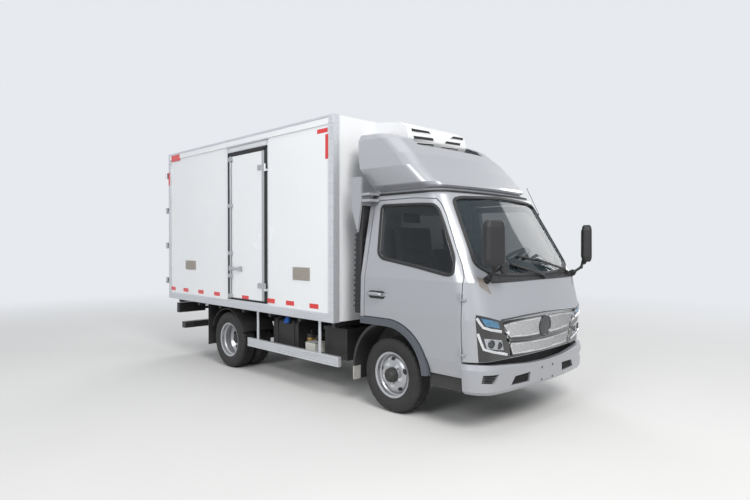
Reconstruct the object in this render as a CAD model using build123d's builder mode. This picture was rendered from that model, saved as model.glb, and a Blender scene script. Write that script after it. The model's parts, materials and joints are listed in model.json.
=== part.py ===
from build123d import *
from math import cos, radians, sin, tan
import os

os.makedirs("parts", exist_ok=True)

# A light refrigerated truck: cab over engine, insulated box, twin rear wheels.
# Millimetres. +X is forward, +Y is the truck's left, +Z is up, the ground is z = 0.

# Wheels and axles
front_axle_x = 1645
wheelbase = 2800
rear_axle_x = front_axle_x - wheelbase
tyre_radius = 352
tyre_width = 202
flange_radius = 215
seat_radius = 203
front_track = 1580
rear_hub_spread = 1500
twin_spacing = 234
stub_radius = 24
running_clearance = 0.05
hand_hole_count = 5

# Steering
kingpin_y = 700
kingpin_radius = 15
axle_eye_height = 80
yoke_thickness = 26
yoke_gap = 1

# Frame
rail_outer_y = 375
rail_width = 65
rail_web = 8
rail_bottom = 540
rail_top = 700
rail_front_x = 2470
rail_rear_x = -2640
sill_width = 70
pivot_x = 2570
pivot_z = 450
pivot_radius = 24
pivot_half_span = 430
horn_thickness = 14

# Insulated box
box_front_x = 960
box_rear_x = -2765
box_half_width = 1000
box_floor_bottom = 785
floor_thickness = 95
box_top = 2880
wall = 80
rear_frame_depth = 79
rear_opening_half = 930
rear_header = 90
door_gap = 6
door_proud = 8
door_wedge = 14

# Side door of the box, on the truck's right
side_door_front_x = -240
side_door_rear_x = -1050
side_door_top = 2680

# Door ironwork
hinge_pin_radius = 7
hinge_barrel_radius = 13
hinge_offset = 15
hinge_out = 25
strap_thickness = 12
lock_rod_radius = 9
lock_rod_out = 16
irons_depth = 30
rear_hinge_back = 20

# Cab
cab_wall = 50
cab_gap = 7
nose_sweep = radians(8)
cab_base_z = 600
cab_roof_z = 2085
cab_floor_z = 850
cab_floor_thickness = 30
footwell_z = 722
glass_inset = 12
glass_thickness = 6
arch_centre_x = 1640
arch_centre_z = 382
arch_inner = 430
arch_outer = 498
arch_lip_y = 940
arch_liner_thickness = 10
arch_front_angle = 6
liner_inner_y = 440
liner_edge_y = 925
arch_flap_low = 238
step_rear_x = arch_centre_x + arch_outer + 2
floor_half = 870
seat_gap = 0.3

# Cab cross sections. Columns: height, nose, side half width, rear half width, corner radius, rear.
cab_rows = [
    (600, 2712, 925, 925, 220, 1285),
    (950, 2732, 935, 935, 220, 1285),
    (1260, 2664, 930, 930, 220, 1287),
    (2020, 2235, 800, 800, 180, 1302),
    (cab_roof_z, 2140, 745, 745, 170, 1332),
]
# The section at the doors' lower edge, below the nose panel. Same columns.
door_foot_row = (460, 2700, 905, 905, 220, 1285)
# Bumper sections. Same columns.
bumper_rows = [
    (338, 2738, 885, 885, 200, 2440),
    (366, 2754, 915, 915, 220, 2440),
    (545, 2760, 932, 932, 220, 2440),
    (592, 2746, 926, 926, 215, 2440),
]
# Wind deflector sections on the cab roof. Same columns.
fairing_rows = [
    (cab_roof_z + 0.3, 2125, 740, 740, 170, 1375),
    (2112, 2165, 778, 778, 175, 1352),
    (2140, 2140, 815, 818, 185, 1325),
    (2305, 1965, 850, 900, 175, 1240),
    (2427, 1850, 840, 880, 180, 1200),
    (2600, 1640, 815, 845, 190, 1160),
    (2662, 1480, 770, 800, 180, 1150),
]
fairing_thickness = 22
bumper_wall = 40


def block(x, y, z, mode=Mode.ADD):
    """A box between a low and a high value along each axis."""
    middle = [(low + high) / 2 for low, high in (x, y, z)]
    with Locations(tuple(middle)):
        Box(abs(x[1] - x[0]), abs(y[1] - y[0]), abs(z[1] - z[0]), mode=mode)


def rod(start, end, radius, mode=Mode.ADD):
    """A round bar between two points."""
    run = Vector(*end) - Vector(*start)
    with BuildSketch(Plane(origin=start, z_dir=run)) as end_face:
        Circle(radius)
    extrude(end_face.sketch, amount=run.length, mode=mode)


def side_plane(y):
    """Local x runs forward and local y up. Extrusion runs to the truck's right."""
    return Plane(origin=(0, y, 0), x_dir=(1, 0, 0), z_dir=(0, -1, 0))


def front_plane(x):
    """Local x runs to the truck's left and local y up. Extrusion runs forward."""
    return Plane(origin=(x, 0, 0), x_dir=(0, 1, 0), z_dir=(1, 0, 0))


def side_profile(points, y_start, y_end, mode=Mode.ADD):
    """A polygon in side view, extruded from y_start down to y_end."""
    with BuildSketch(side_plane(y_start)) as outline:
        with BuildLine():
            Polyline(*points, close=True)
        make_face()
    extrude(outline.sketch, amount=y_start - y_end, mode=mode)


def front_profile(points, x_start, x_end, mode=Mode.ADD):
    """A polygon in front view, extruded from x_start up to x_end."""
    with BuildSketch(front_plane(x_start)) as outline:
        with BuildLine():
            Polyline(*points, close=True)
        make_face()
    extrude(outline.sketch, amount=x_end - x_start, mode=mode)


def body_section(row, inset):
    """One closed section of a cab-like body: flat rear, straight sides, bowed nose."""
    height, nose, half, rear_half, corner, rear = row
    half, rear_half, corner = half - inset, rear_half - inset, corner - inset
    nose_half = half - corner * (1 - sin(nose_sweep))
    bow_x = nose - inset - nose_half * tan(nose_sweep / 2)
    side_x = bow_x - corner * cos(nose_sweep)
    middle = (nose_sweep + radians(90)) / 2
    mid_x = side_x + corner * cos(middle)
    mid_y = half - corner + corner * sin(middle)
    with BuildSketch(Plane.XY.offset(height)) as section:
        with BuildLine():
            Line((rear, -rear_half), (side_x, -half))
            ThreePointArc((side_x, -half), (mid_x, -mid_y), (bow_x, -nose_half))
            ThreePointArc((bow_x, -nose_half), (nose - inset, 0), (bow_x, nose_half))
            ThreePointArc((bow_x, nose_half), (mid_x, mid_y), (side_x, half))
            Line((side_x, half), (rear, rear_half))
            Line((rear, rear_half), (rear, -rear_half))
        make_face()
    return section.sketch


def body_loft(rows, inset=0, rear_inset=0, mode=Mode.ADD):
    """A solid through the sections of a table, drawn in by an inset."""
    sections = []
    for height, nose, half, rear_half, corner, rear in rows:
        sections.append(body_section((height, nose, half, rear_half, corner, rear + rear_inset), inset))
    loft(sections, ruled=True, mode=mode)


def row_at(rows, height):
    """The section of a body at one height, between two rows of its table."""
    for low, high in zip(rows, rows[1:]):
        if low[0] <= height <= high[0]:
            share = (height - low[0]) / (high[0] - low[0])
            return tuple(a + share * (b - a) for a, b in zip(low, high))


def lid(rows, thickness):
    """The closed top of a body."""
    body_loft([row_at(rows, rows[-1][0] - thickness), rows[-1]])


def skin(rows, outer=0, inner=cab_wall, rear_inner=cab_wall):
    """The layer of a body between two depths under its surface."""
    with BuildPart() as layer:
        body_loft(rows, outer)
        body_loft(rows, inner, rear_inner, Mode.SUBTRACT)
    return layer.part


def polar(centre_x, centre_z, radius, angle):
    """A point on a circle in side view. The angle is in degrees from forward, upward."""
    turn = radians(angle)
    return centre_x + radius * cos(turn), centre_z + radius * sin(turn)


def export(piece, name):
    piece.label = name
    export_step(piece, f"parts/{name}.step")


def join(*pieces):
    """Pieces that make one node, fused where they touch."""
    with BuildPart() as whole:
        for piece in pieces:
            add(piece)
    return whole.part


def mirrored(piece):
    """The same piece on the truck's other side."""
    with BuildPart() as other:
        mirror(piece, about=Plane.XZ)
    return other.part


# Frame: two channel rails
def frame_rails():
    with BuildPart() as rails:
        inner_y = rail_outer_y - rail_width
        block((rail_rear_x, rail_front_x), (inner_y, rail_outer_y), (rail_bottom, rail_top))
        block((rail_rear_x, rail_front_x), (inner_y, rail_outer_y - rail_web),
              (rail_bottom + rail_web, rail_top - rail_web), Mode.SUBTRACT)
        mirror(about=Plane.XZ)
    return rails.part


# Cross members of the frame, with the cab's front pivot and rear seats.
# Columns: rear face, front face, bottom, top.
member_rows = [
    (2390, 2450, 560, 690),
    (790, 850, 560, 690),
    (-60, 0, 560, 690),
    (-820, -760, 560, 690),
    (-1620, -1560, 560, 690),
    (-2600, -2540, 560, 690),
]


def cross_members():
    inner_y = rail_outer_y - rail_web
    with BuildPart() as members:
        for rear, front, bottom, top in member_rows:
            block((rear, front), (-inner_y, inner_y), (bottom, top))
            block((rear, front), (-inner_y, inner_y), (bottom + 12, top - 12), Mode.SUBTRACT)
            block((rear, rear + 10), (-inner_y, inner_y), (bottom, top))
    return members.part


def cab_pivot():
    """Horns bolted outside the rails, the cross tube on which the cab tips."""
    outer_y = rail_outer_y + horn_thickness
    with BuildPart() as pivot:
        horn = [(2250, rail_bottom + 10), (2250, rail_top - 20), (rail_front_x, rail_top - 20),
                (pivot_x + 42, pivot_z + 30), (pivot_x + 42, pivot_z - 42), (pivot_x - 42, pivot_z - 42)]
        side_profile(horn, outer_y, rail_outer_y)
        side_profile(horn, -rail_outer_y, -outer_y)
        rod((pivot_x, -pivot_half_span, pivot_z), (pivot_x, pivot_half_span, pivot_z), pivot_radius)
    return pivot.part


def cab_rear_seats():
    """The arch on the rails that carries the rear of the cab on two rubber blocks."""
    with BuildPart() as seats:
        top = cab_floor_z - seat_gap
        for side in (-1, 1):
            block((1262, 1322), sorted((side * 310, side * 375)), (rail_top, top - 30))
            block((1256, 1328), sorted((side * 306, side * 400)), (top - 30, top))
    return seats.part


bearer_half = box_half_width - 70


def box_sills():
    """Two long sills on the rails and the cross bearers that carry the floor."""
    with BuildPart() as sills:
        low, high = rail_top, box_floor_bottom
        for side in (-1, 1):
            y = sorted((side * (rail_outer_y - sill_width), side * rail_outer_y))
            block((rail_rear_x - 20, box_front_x - 20), y, (low, high))
        for place in range(7):
            x = box_front_x - 60 - place * 575
            block((x - 50, x), (-bearer_half, bearer_half), (high - 60, high))
    return sills.part


# Axles
def front_axle():
    """A dropped beam with an eye at each end for the kingpin."""
    axle_z = tyre_radius
    beam = [(-kingpin_y, axle_z - 32), (-kingpin_y, axle_z + 32), (-600, axle_z + 30),
            (-500, axle_z - 40), (500, axle_z - 40), (600, axle_z + 30), (kingpin_y, axle_z + 32),
            (kingpin_y, axle_z - 32), (600, axle_z - 34), (520, axle_z - 110), (-520, axle_z - 110),
            (-600, axle_z - 34)]
    eye_low = axle_z - axle_eye_height / 2
    pin_reach = axle_eye_height / 2 + yoke_gap + yoke_thickness
    with BuildPart() as axle:
        front_profile(beam, front_axle_x - 34, front_axle_x + 34)
        for y in (-kingpin_y, kingpin_y):
            rod((front_axle_x, y, eye_low), (front_axle_x, y, eye_low + axle_eye_height), 34)
            rod((front_axle_x, y, axle_z - pin_reach), (front_axle_x, y, axle_z + pin_reach), kingpin_radius)
    return axle.part


def rear_axle():
    """A tube housing with the differential's bowl and a spindle at each end."""
    centre = (rear_axle_x, 0, tyre_radius)
    end = rear_hub_spread / 2
    with BuildPart() as axle:
        rod((rear_axle_x, -end + 90, tyre_radius), (rear_axle_x, end - 90, tyre_radius), 52)
        rod((rear_axle_x, -end - 70, tyre_radius), (rear_axle_x, end + 70, tyre_radius), stub_radius)
        with Locations(centre):
            Sphere(165)
        pinion_z = tyre_radius + pinion_rise
        rod((rear_axle_x, 0, pinion_z), (rear_axle_x + pinion_reach, 0, pinion_z), 60)
    return axle.part


# Leaf springs. Columns: axle, half length, half gap across the frame, seat height over the ground.
spring_rows = [
    (front_axle_x, 560, 342.5, tyre_radius - 40),
    (rear_axle_x, 620, 342.5, tyre_radius + 52),
]
leaf_count = 4
leaf_thickness = 11
leaf_width = 64


def leaf_springs():
    with BuildPart() as springs:
        for axle_x, half_length, y, seat in spring_rows:
            rise = rail_bottom - seat - leaf_count * leaf_thickness - 22
            for leaf in range(leaf_count):
                reach = half_length * (1 - 0.2 * (leaf_count - 1 - leaf))
                bow = rise * (reach / half_length) ** 2
                low = seat + leaf * leaf_thickness
                outline_low = ((axle_x - reach, low + bow), (axle_x, low), (axle_x + reach, low + bow))
                outline_high = [(x, z + leaf_thickness) for x, z in outline_low]
                for side in (-1, 1):
                    with BuildSketch(side_plane(side * y + leaf_width / 2)):
                        with BuildLine():
                            ThreePointArc(*outline_low)
                            Line(outline_low[2], outline_high[2])
                            ThreePointArc(*reversed(outline_high))
                            Line(outline_high[0], outline_low[0])
                        make_face()
                    extrude(amount=leaf_width)
            top = seat + rise + leaf_count * leaf_thickness
            for side in (-1, 1):
                for end in (-1, 1):
                    x = axle_x + end * (half_length - 12)
                    block((x - 22, x + 22), (side * y - leaf_width / 2, side * y + leaf_width / 2),
                          (top - 60, rail_bottom))
                reach_y = sorted((side * (y - 44), side * (y + 44)))
                block((axle_x - 60, axle_x + 60), reach_y, (seat + leaf_count * leaf_thickness - 2,
                                                          seat + leaf_count * leaf_thickness + 14))
    return springs.part


pinion_reach = 290
pinion_rise = 12
gearbox_rear_x = 870
engine_rear_x = 1400
gearbox_output_z = 500


def driveline():
    """The engine as one plain block, the gearbox and the shaft to the rear axle."""
    with BuildPart() as line:
        block((engine_rear_x, engine_rear_x + 680), (-260, 260), (430, 990))
        block((gearbox_rear_x, engine_rear_x), (-150, 150), (400, 690))
        mount_y = rail_outer_y - rail_web
        block((1600, 1660), (-mount_y, mount_y), (600, 640))
        joint_x = rear_axle_x + pinion_reach
        joint_z = tyre_radius + pinion_rise
        rod((gearbox_rear_x, 0, gearbox_output_z), (joint_x + 8, 0, joint_z), 42)
        rod((joint_x + 16, 0, joint_z), (joint_x, 0, joint_z), 52)
    return line.part


def hang_on_rail(side, x, low, high, reach):
    """A flat bracket from the rail's outer face out over a tank."""
    y_rail = side * rail_outer_y
    block((x - 20, x + 20), sorted((y_rail, y_rail + side * 12)), (low, high))
    block((x - 20, x + 20), sorted((y_rail, side * reach)), (high - 10, high))


def fuel_tank():
    """The fuel tank on the left rail, strapped to two brackets."""
    with BuildPart() as tank:
        block((-100, 760), (rail_outer_y + 15, 800), (350, 690))
        fillet(tank.edges().filter_by(Axis.X), 60)
        for x in (40, 620):
            hang_on_rail(1, x, 560, 700, 760)
        rod((620, 700, 600), (700, 700, 715), 34)
    return tank.part


def battery_box():
    """The battery box on the right rail."""
    with BuildPart() as box:
        block((560, 920), (-780, -rail_outer_y - 12), (360, 680))
        block((548, 932), (-790, -rail_outer_y - 12), (655, 692))
        for x in (620, 860):
            hang_on_rail(-1, x, 560, 702, 700)
    return box.part


def urea_tank():
    """The black tank with its cap on the right rail, with the small filter and reservoir."""
    with BuildPart() as tank:
        block((-380, 110), (-800, -rail_outer_y - 15), (360, 690))
        fillet(tank.edges().filter_by(Axis.X), 45)
        for x in (-300, 40):
            hang_on_rail(-1, x, 560, 700, 760)
        rod((-90, -740, 640), (-90, -815, 690), 36)
        rod((220, -700, 560), (220, -700, 440), 48)
        block((205, 235), (-700, -rail_outer_y), (560, 600))
        block((314, 500), (-860, -700), (390, 500))
        block((380, 420), (-760, -rail_outer_y), (500, 560))
    return tank.part


def silencer():
    """The silencer on the left rail behind the fuel tank."""
    with BuildPart() as pipe:
        rod((-520, 600, 500), (-200, 600, 500), 118)
        rod((-200, 600, 500), (-140, 600, 500), 34)
        rod((-520, 600, 500), (-560, 640, 430), 34)
        for x in (-450, -270):
            hang_on_rail(1, x, 570, 622, 620)
    return pipe.part


# Side guards below the box, one each side. Columns: side, rear end, front end.
guard_rows = [(-1, -665, 1011), (1, -665, 1011)]
guard_y = box_half_width - 15
guard_depth = 40
guard_low = 340
guard_high = 440
hanger_places = (-500, 670)


def side_guards():
    with BuildPart() as guards:
        for side, rear, front in guard_rows:
            outer, inner = side * guard_y, side * (guard_y - guard_depth)
            block((rear, front), sorted((outer, inner)), (guard_low, guard_high))
            for place in (0.25, 0.5, 0.75):
                groove = guard_low + place * (guard_high - guard_low)
                block((rear, front), sorted((outer, outer - side * 6)), (groove - 6, groove + 6), Mode.SUBTRACT)
            for x in hanger_places:
                block((x - 20, x + 20), sorted((inner, inner - side * 8)), (guard_low, box_floor_bottom))
                block((x - 20, x + 20), sorted((inner - side * 60, inner)), (box_floor_bottom - 8, box_floor_bottom))
    return guards.part


def rear_guard():
    with BuildPart() as guard:
        block((-2570, -2470), (-900, 900), (352, 440))
        for side in (-1, 1):
            block((-2560, -2480), sorted((side * 300, side * 360)), (440, rail_bottom))
    return guard.part


def tail_lamps():
    with BuildPart() as lamps:
        for side in (-1, 1):
            block((-2670, -2590), sorted((side * 520, side * bearer_half)), (570, 710))
            block((-2590, -2570), sorted((side * 540, side * 600)), (600, 725))
            block((-2590, -2570), sorted((side * 375, side * 600)), (600, 640))
    return lamps.part


rear_flap_x = rear_axle_x - 485
guard_outer_y = box_half_width - 20


def rear_mudguards():
    """Curved guards over the twin wheels, and a flap under the box behind them."""
    inner_r, outer_r = tyre_radius + 40, tyre_radius + 48
    with BuildPart() as guards:
        for side in (-1, 1):
            y_start = guard_outer_y if side > 0 else -520
            with BuildSketch(side_plane(y_start)):
                with BuildLine():
                    rear_out = polar(rear_axle_x, tyre_radius, outer_r, 160)
                    rear_in = polar(rear_axle_x, tyre_radius, inner_r, 160)
                    front_out = polar(rear_axle_x, tyre_radius, outer_r, 20)
                    front_in = polar(rear_axle_x, tyre_radius, inner_r, 20)
                    ThreePointArc(rear_out, (rear_axle_x, tyre_radius + outer_r), front_out)
                    Line(front_out, front_in)
                    ThreePointArc(front_in, (rear_axle_x, tyre_radius + inner_r), rear_in)
                    Line(rear_in, rear_out)
                make_face()
            extrude(amount=guard_outer_y - 520)
            y = sorted((side * 520, side * guard_outer_y))
            block((rear_flap_x, rear_flap_x + 10), y, (235, box_floor_bottom))
            block((rear_flap_x, rear_flap_x + 40), y, (box_floor_bottom - 8, box_floor_bottom))
            for place in (560, 900):
                block((rear_axle_x - 20, rear_axle_x + 20), sorted((side * place, side * (place + 30))),
                      (tyre_radius + outer_r - 4, box_floor_bottom))
    return guards.part


# The insulated box
floor_top = box_floor_bottom + floor_thickness
roof_bottom = box_top - wall
inner_rear_x = box_rear_x + rear_frame_depth
inner_half = box_half_width - wall


def box_floor():
    """The load floor, between the walls."""
    with BuildPart() as floor:
        block((inner_rear_x, box_front_x - wall), (-inner_half, inner_half), (box_floor_bottom, floor_top))
    return floor.part


def box_roof():
    with BuildPart() as roof:
        block((inner_rear_x, box_front_x), (-box_half_width, box_half_width), (roof_bottom, box_top))
    return roof.part


def box_front_wall():
    with BuildPart() as panel:
        block((box_front_x - wall, box_front_x), (-inner_half, inner_half), (box_floor_bottom, roof_bottom))
    return panel.part


def box_wall(side):
    y = sorted((side * inner_half, side * box_half_width))
    with BuildPart() as panel:
        block((inner_rear_x, box_front_x), y, (box_floor_bottom, roof_bottom))
        if side < 0:
            block((side_door_rear_x - door_gap, side_door_front_x + door_gap), y,
                  (floor_top, side_door_top + door_gap), Mode.SUBTRACT)
    return panel.part


def box_rear_frame():
    with BuildPart() as frame:
        block((box_rear_x, inner_rear_x), (-box_half_width, box_half_width), (box_floor_bottom, box_top))
        block((box_rear_x, inner_rear_x), (-rear_opening_half, rear_opening_half),
              (floor_top, box_top - rear_header), Mode.SUBTRACT)
    return frame.part


rail_proud = 10
drip_depth = 30
profile_seam = 1


def box_trim():
    """Outside profiles with a seam at each joint: rails, corner posts, door posts and drip rail."""
    out = box_half_width + rail_proud
    low_rail = (box_floor_bottom - 5, floor_top - 10)
    top_rail = (box_top - 88, box_top)
    post = (low_rail[1] + profile_seam, top_rail[0] - profile_seam)
    drip = (post[1] - 14, post[1])
    door_post = (post[0], drip[0] - profile_seam)
    rear_post = side_door_rear_x - door_gap
    front_post = side_door_front_x + door_gap
    with BuildPart() as trim:
        for side in (-1, 1):
            y = sorted((side * box_half_width, side * out))
            for z in (low_rail, top_rail):
                block((box_rear_x + 4, box_front_x - profile_seam), y, z)
            for x in ((box_rear_x + 4, box_rear_x + 74), (box_front_x - 70, box_front_x - profile_seam)):
                block(x, y, post)
            block((box_front_x, box_front_x + rail_proud), sorted((side * (box_half_width - 70), side * out)),
                  (box_floor_bottom - 5, box_top))
        y = (-box_half_width - 3, -box_half_width)
        for x in (rear_post - 44, front_post):
            block((x, x + 44), y, door_post)
        block((rear_post + profile_seam, front_post - profile_seam), y,
              (side_door_top + door_gap, side_door_top + 50))
        block((rear_post - 50, front_post + 60), (-box_half_width - drip_depth, -box_half_width), drip)
    return trim.part


def reefer_unit():
    """The cooling unit on the box's front wall, with its louvres, and the evaporator inside."""
    low, high, front = 2567, 2815, 1500
    start = box_front_x + 0.3
    with BuildPart() as unit:
        outline = [(start, low), (front - 40, low), (front, low + 70), (front - 25, high - 60),
                   (front - 130, high), (start, high + 45)]
        side_profile(outline, 480, -480)
        fillet(unit.edges().filter_by(Axis.X, reverse=True).group_by(Axis.X)[-1], 12)
    with BuildPart() as louvred:
        add(unit.part)
        for y in (-400, -215, 40, 225):
            for z in (low + 105, low + 150):
                block((front - 60, front + 20), (y, y + 160), (z, z + 26), Mode.SUBTRACT)
        block((880 - 430, box_front_x - wall - 0.3), (-620, 620), (2480, roof_bottom - 0.3))
    return louvred.part


# Doors of the box
def hinge_frame_half(x, y, z, reach_x, reach_y):
    """A fixed lug and the pin that stands on it."""
    block(sorted((x, reach_x)), sorted((y, reach_y)), (z - 55, z - 31))
    rod((x, y, z - 55), (x, y, z - 31), hinge_barrel_radius)
    rod((x, y, z - 31), (x, y, z + 32), hinge_pin_radius)


side_axis_x = side_door_front_x + hinge_offset
side_axis_y = -box_half_width - hinge_out
side_hinge_heights = (1087, 2467)
rear_axis_x = box_rear_x - door_proud - rear_hinge_back
reach_x = hinge_barrel_radius - rear_axis_x
rear_axis_y = box_half_width + hinge_out
rear_hinge_heights = (1050, 1560, 2070, 2580)
bore_radius = hinge_pin_radius + running_clearance


def side_door():
    top, bottom = side_door_top, floor_top + door_gap
    outer = -box_half_width - door_proud
    inner = outer + wall
    with BuildPart() as door:
        with BuildSketch(Plane.XY.offset(bottom)):
            with BuildLine():
                Polyline((side_door_rear_x, outer), (side_door_front_x, outer),
                         (side_door_front_x - door_wedge, inner), (side_door_rear_x + door_wedge, inner), close=True)
            make_face()
        extrude(amount=top - bottom)
    return door.part


def side_door_hardware():
    """Two strap hinges, the lock rod with its keepers and the lever."""
    face = -box_half_width - door_proud
    rod_x = side_door_rear_x + 60
    with BuildPart() as irons:
        for z in side_hinge_heights:
            block((side_door_front_x - 150, side_axis_x), (side_axis_y, face), (z - 29, z + 29))
            block((side_door_front_x - 150, side_axis_x), (side_axis_y, face - strap_thickness),
                  (z - 29, z + 29), Mode.SUBTRACT)
            block((side_door_front_x, side_axis_x), (side_axis_y, face - 2), (z - 29, z + 29))
            rod((side_axis_x, side_axis_y, z - 30), (side_axis_x, side_axis_y, z + 30), hinge_barrel_radius)
            rod((side_axis_x, side_axis_y, z - 31), (side_axis_x, side_axis_y, z + 33), bore_radius, Mode.SUBTRACT)
        rod_y = face - lock_rod_out
        rod((rod_x, rod_y, 900), (rod_x, rod_y, side_door_top - 20), lock_rod_radius)
        for z in (930, 1180, 1460, 2050, side_door_top - 60):
            block((rod_x - 35, rod_x + 35), (face - irons_depth, face), (z - 22, z + 22))
        block((rod_x - 10, rod_x + 260), (face - irons_depth, face - irons_depth + 8), (1255, 1285))
        block((rod_x - 20, rod_x + 20), (face - irons_depth, rod_y), (1240, 1300))
        block((rod_x + 200, rod_x + 240), (face - irons_depth + 8, face), (1240, 1300))
    return irons.part


def side_door_fixed_hinges():
    with BuildPart() as lugs:
        for z in side_hinge_heights:
            hinge_frame_half(side_axis_x, side_axis_y, z, side_axis_x + 40, -box_half_width - 3)
    return lugs.part


def rear_door():
    """The right-hand rear door. Its left twin is its mirror image."""
    outer = box_rear_x - door_proud
    inner = outer + wall
    low_y, high_y = 3, rear_opening_half - door_gap
    bottom, top = floor_top + door_gap, box_top - rear_header - door_gap
    with BuildPart() as door:
        with BuildSketch(Plane.XY.offset(bottom)):
            with BuildLine():
                Polyline((outer, -low_y), (outer, -high_y), (inner, -high_y + door_wedge),
                         (inner, -low_y - door_wedge), close=True)
            make_face()
        extrude(amount=top - bottom)
    return door.part


def rear_door_hardware():
    face = box_rear_x - door_proud
    rod_y = -150
    top = box_top - rear_header - door_gap
    with BuildPart() as irons:
        for z in rear_hinge_heights:
            block((face - strap_thickness, face), (-rear_axis_y + 5, -rear_opening_half + 220), (z - 29, z + 29))
            block((rear_axis_x, face), (-rear_axis_y, -rear_axis_y + 12), (z - 29, z + 29))
            rod((rear_axis_x, -rear_axis_y, z - 30), (rear_axis_x, -rear_axis_y, z + 30), hinge_barrel_radius)
            rod((rear_axis_x, -rear_axis_y, z - 31), (rear_axis_x, -rear_axis_y, z + 33), bore_radius, Mode.SUBTRACT)
        rod_x = face - lock_rod_out
        rod((rod_x, rod_y, 900), (rod_x, rod_y, top - 10), lock_rod_radius)
        for z in (940, 1200, 1500, 2100, top - 60):
            block((face - irons_depth, face), (rod_y - 35, rod_y + 35), (z - 22, z + 22))
        block((face - irons_depth, face - irons_depth + 8), (rod_y - 300, rod_y + 12), (1335, 1365))
        block((face - irons_depth, face), (rod_y - 270, rod_y - 230), (1320, 1380))
    return irons.part


def rear_door_fixed_hinges():
    with BuildPart() as lugs:
        for z in rear_hinge_heights:
            block((rear_axis_x, box_rear_x), (-rear_axis_y, -box_half_width + 18), (z - 55, z - 31))
            rod((rear_axis_x, -rear_axis_y, z - 55), (rear_axis_x, -rear_axis_y, z - 31), hinge_barrel_radius)
            rod((rear_axis_x, -rear_axis_y, z - 31), (rear_axis_x, -rear_axis_y, z + 32), hinge_pin_radius)
        mirror(about=Plane.XZ)
    return lugs.part


# Cab outlines in side view, x forward and z up
door_foot_z = arch_centre_z + arch_outer + cab_gap
door_front_x = 2485
door_low_z = 466
door_front = [(door_front_x, door_low_z), (door_front_x, 1300), (2448, 1397), (2365, 1550), (2225, 1822),
              (2156, 1935), (2110, 1975)]
door_rear = [(1862, 1995), (1430, 1992), (1364, 1935), (1345, 1261), (1338, door_foot_z)]
# The window frame leans in, so it swings back a little as the door opens. Room for it at each point of door_rear.
frame_swing_room = (0, 6, 6, 0, 0)
opening_rear = [(x - room, z) for (x, z), room in zip(door_rear, frame_swing_room)]
arch_swing_room = 8
window_outline = [(1470, 1933), (1940, 1925), (2091, 1916), (2141, 1881), (2220, 1741), (2340, 1511),
                  (2366, 1457), (2383, 1331), (2321, 1328), (1954, 1392), (1552, 1451), (1498, 1494)]
# Windshield outline in front view, half of it: across and up
windshield_half = [(0, 1316), (320, 1320), (560, 1334), (690, 1362), (762, 1410), (735, 1560), (700, 1780),
                   (668, 1960), (560, 1982), (0, 2004)]
belt_half_depth = 400


def door_sketch():
    """The cab door's outline in side view, cut round by the wheel arch."""
    foot_x = arch_centre_x + arch_swing_room
    with BuildSketch(side_plane(1100)) as outline:
        with BuildLine():
            Polyline(*door_front, *door_rear, (foot_x, door_foot_z), (foot_x, door_low_z), close=True)
        make_face()
        with Locations((foot_x, arch_centre_z)):
            Circle(arch_outer + cab_gap, mode=Mode.SUBTRACT)
    return outline.sketch


door_skin_rows = [door_foot_row] + cab_rows
door_rear_inner = 20


def cab_door():
    """The left door. Its right twin is its mirror image."""
    with BuildPart() as door:
        add(skin(door_skin_rows, rear_inner=door_rear_inner))
        extrude(door_sketch(), amount=1100 - belt_half_depth, mode=Mode.INTERSECT)
        side_profile(window_outline, 1100, belt_half_depth, Mode.SUBTRACT)
    return door.part


# Hinges of the cab's doors, outside the skin in line with the gap
cab_hinge_x = door_front_x + cab_gap / 2
cab_hinge_y = 940
cab_hinge_heights = (700, 1150)
cab_pin_radius = 4
cab_barrel_radius = 8


def cab_hinge_barrels():
    """The left door's halves of its hinges."""
    x, y = cab_hinge_x, cab_hinge_y
    with BuildPart() as barrels:
        for z in cab_hinge_heights:
            block((x - 40, x - 4), (y - 40, y - 5), (z - 20, z + 20))
            block((x - 25, x), (y - 8, y), (z - 20, z + 20))
            rod((x, y, z - 20), (x, y, z + 20), cab_barrel_radius)
            rod((x, y, z - 25), (x, y, z + 25), cab_pin_radius + running_clearance, Mode.SUBTRACT)
    return barrels.part


def cab_hinge_lugs():
    """The shell's halves of the left door's hinges, each with its pin."""
    x, y = cab_hinge_x, cab_hinge_y
    with BuildPart() as lugs:
        for z in cab_hinge_heights:
            block((x + 5, x + 40), (y - 40, y), (z - 41, z - 21))
            block((x, x + 10), (y - 8, y + 8), (z - 41, z - 21))
            rod((x, y, z - 41), (x, y, z - 21), cab_barrel_radius)
            rod((x, y, z - 22), (x, y, z + 22), cab_pin_radius)
    return lugs.part


def door_glass():
    with BuildPart() as pane:
        add(skin(door_skin_rows, glass_inset, glass_inset + glass_thickness))
        side_profile(window_outline, 1100, belt_half_depth, Mode.INTERSECT)
    return pane.part


def door_handle():
    with BuildPart() as handle:
        block((1390, 1622), (950, 962), (1090, 1120))
        for x in (1400, 1612):
            block((x - 10, x + 10), (925, 950), (1090, 1120))
    return handle.part


windshield_outline = windshield_half + [(-y, z) for y, z in reversed(windshield_half[1:-1])]
cowl_half = [(0, 1314), (320, 1318), (560, 1332), (690, 1360), (690, 1249), (320, 1251), (0, 1254)]
cowl_outline = cowl_half + [(-y, z) for y, z in reversed(cowl_half[1:-1])]
# Front openings: across and up
headlamp_rear_x = 2600
headlamp_outline = [(-892, 1004), (-655, 938), (-552, 790), (-519, 652), (-519, 612), (-853, 612)]
grille_half = [(-655, 938), (-552, 790), (-519, 652), (-519, 612)]
grille_outline = grille_half + [(-y, z) for y, z in reversed(grille_half)]
bumper_dip = [(-870, 592), (-560, 568), (-300, 548), (0, 540), (300, 548), (560, 568), (870, 592), (870, 640),
              (-870, 640)]
outer_recess = [(707, 507), (855, 510), (861, 444), (764, 434)]
inner_recess = [(282, 468), (500, 462), (552, 394), (292, 389)]
rear_window = ((1200, 1500), (-420, 420), (1520, 1880))


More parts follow.
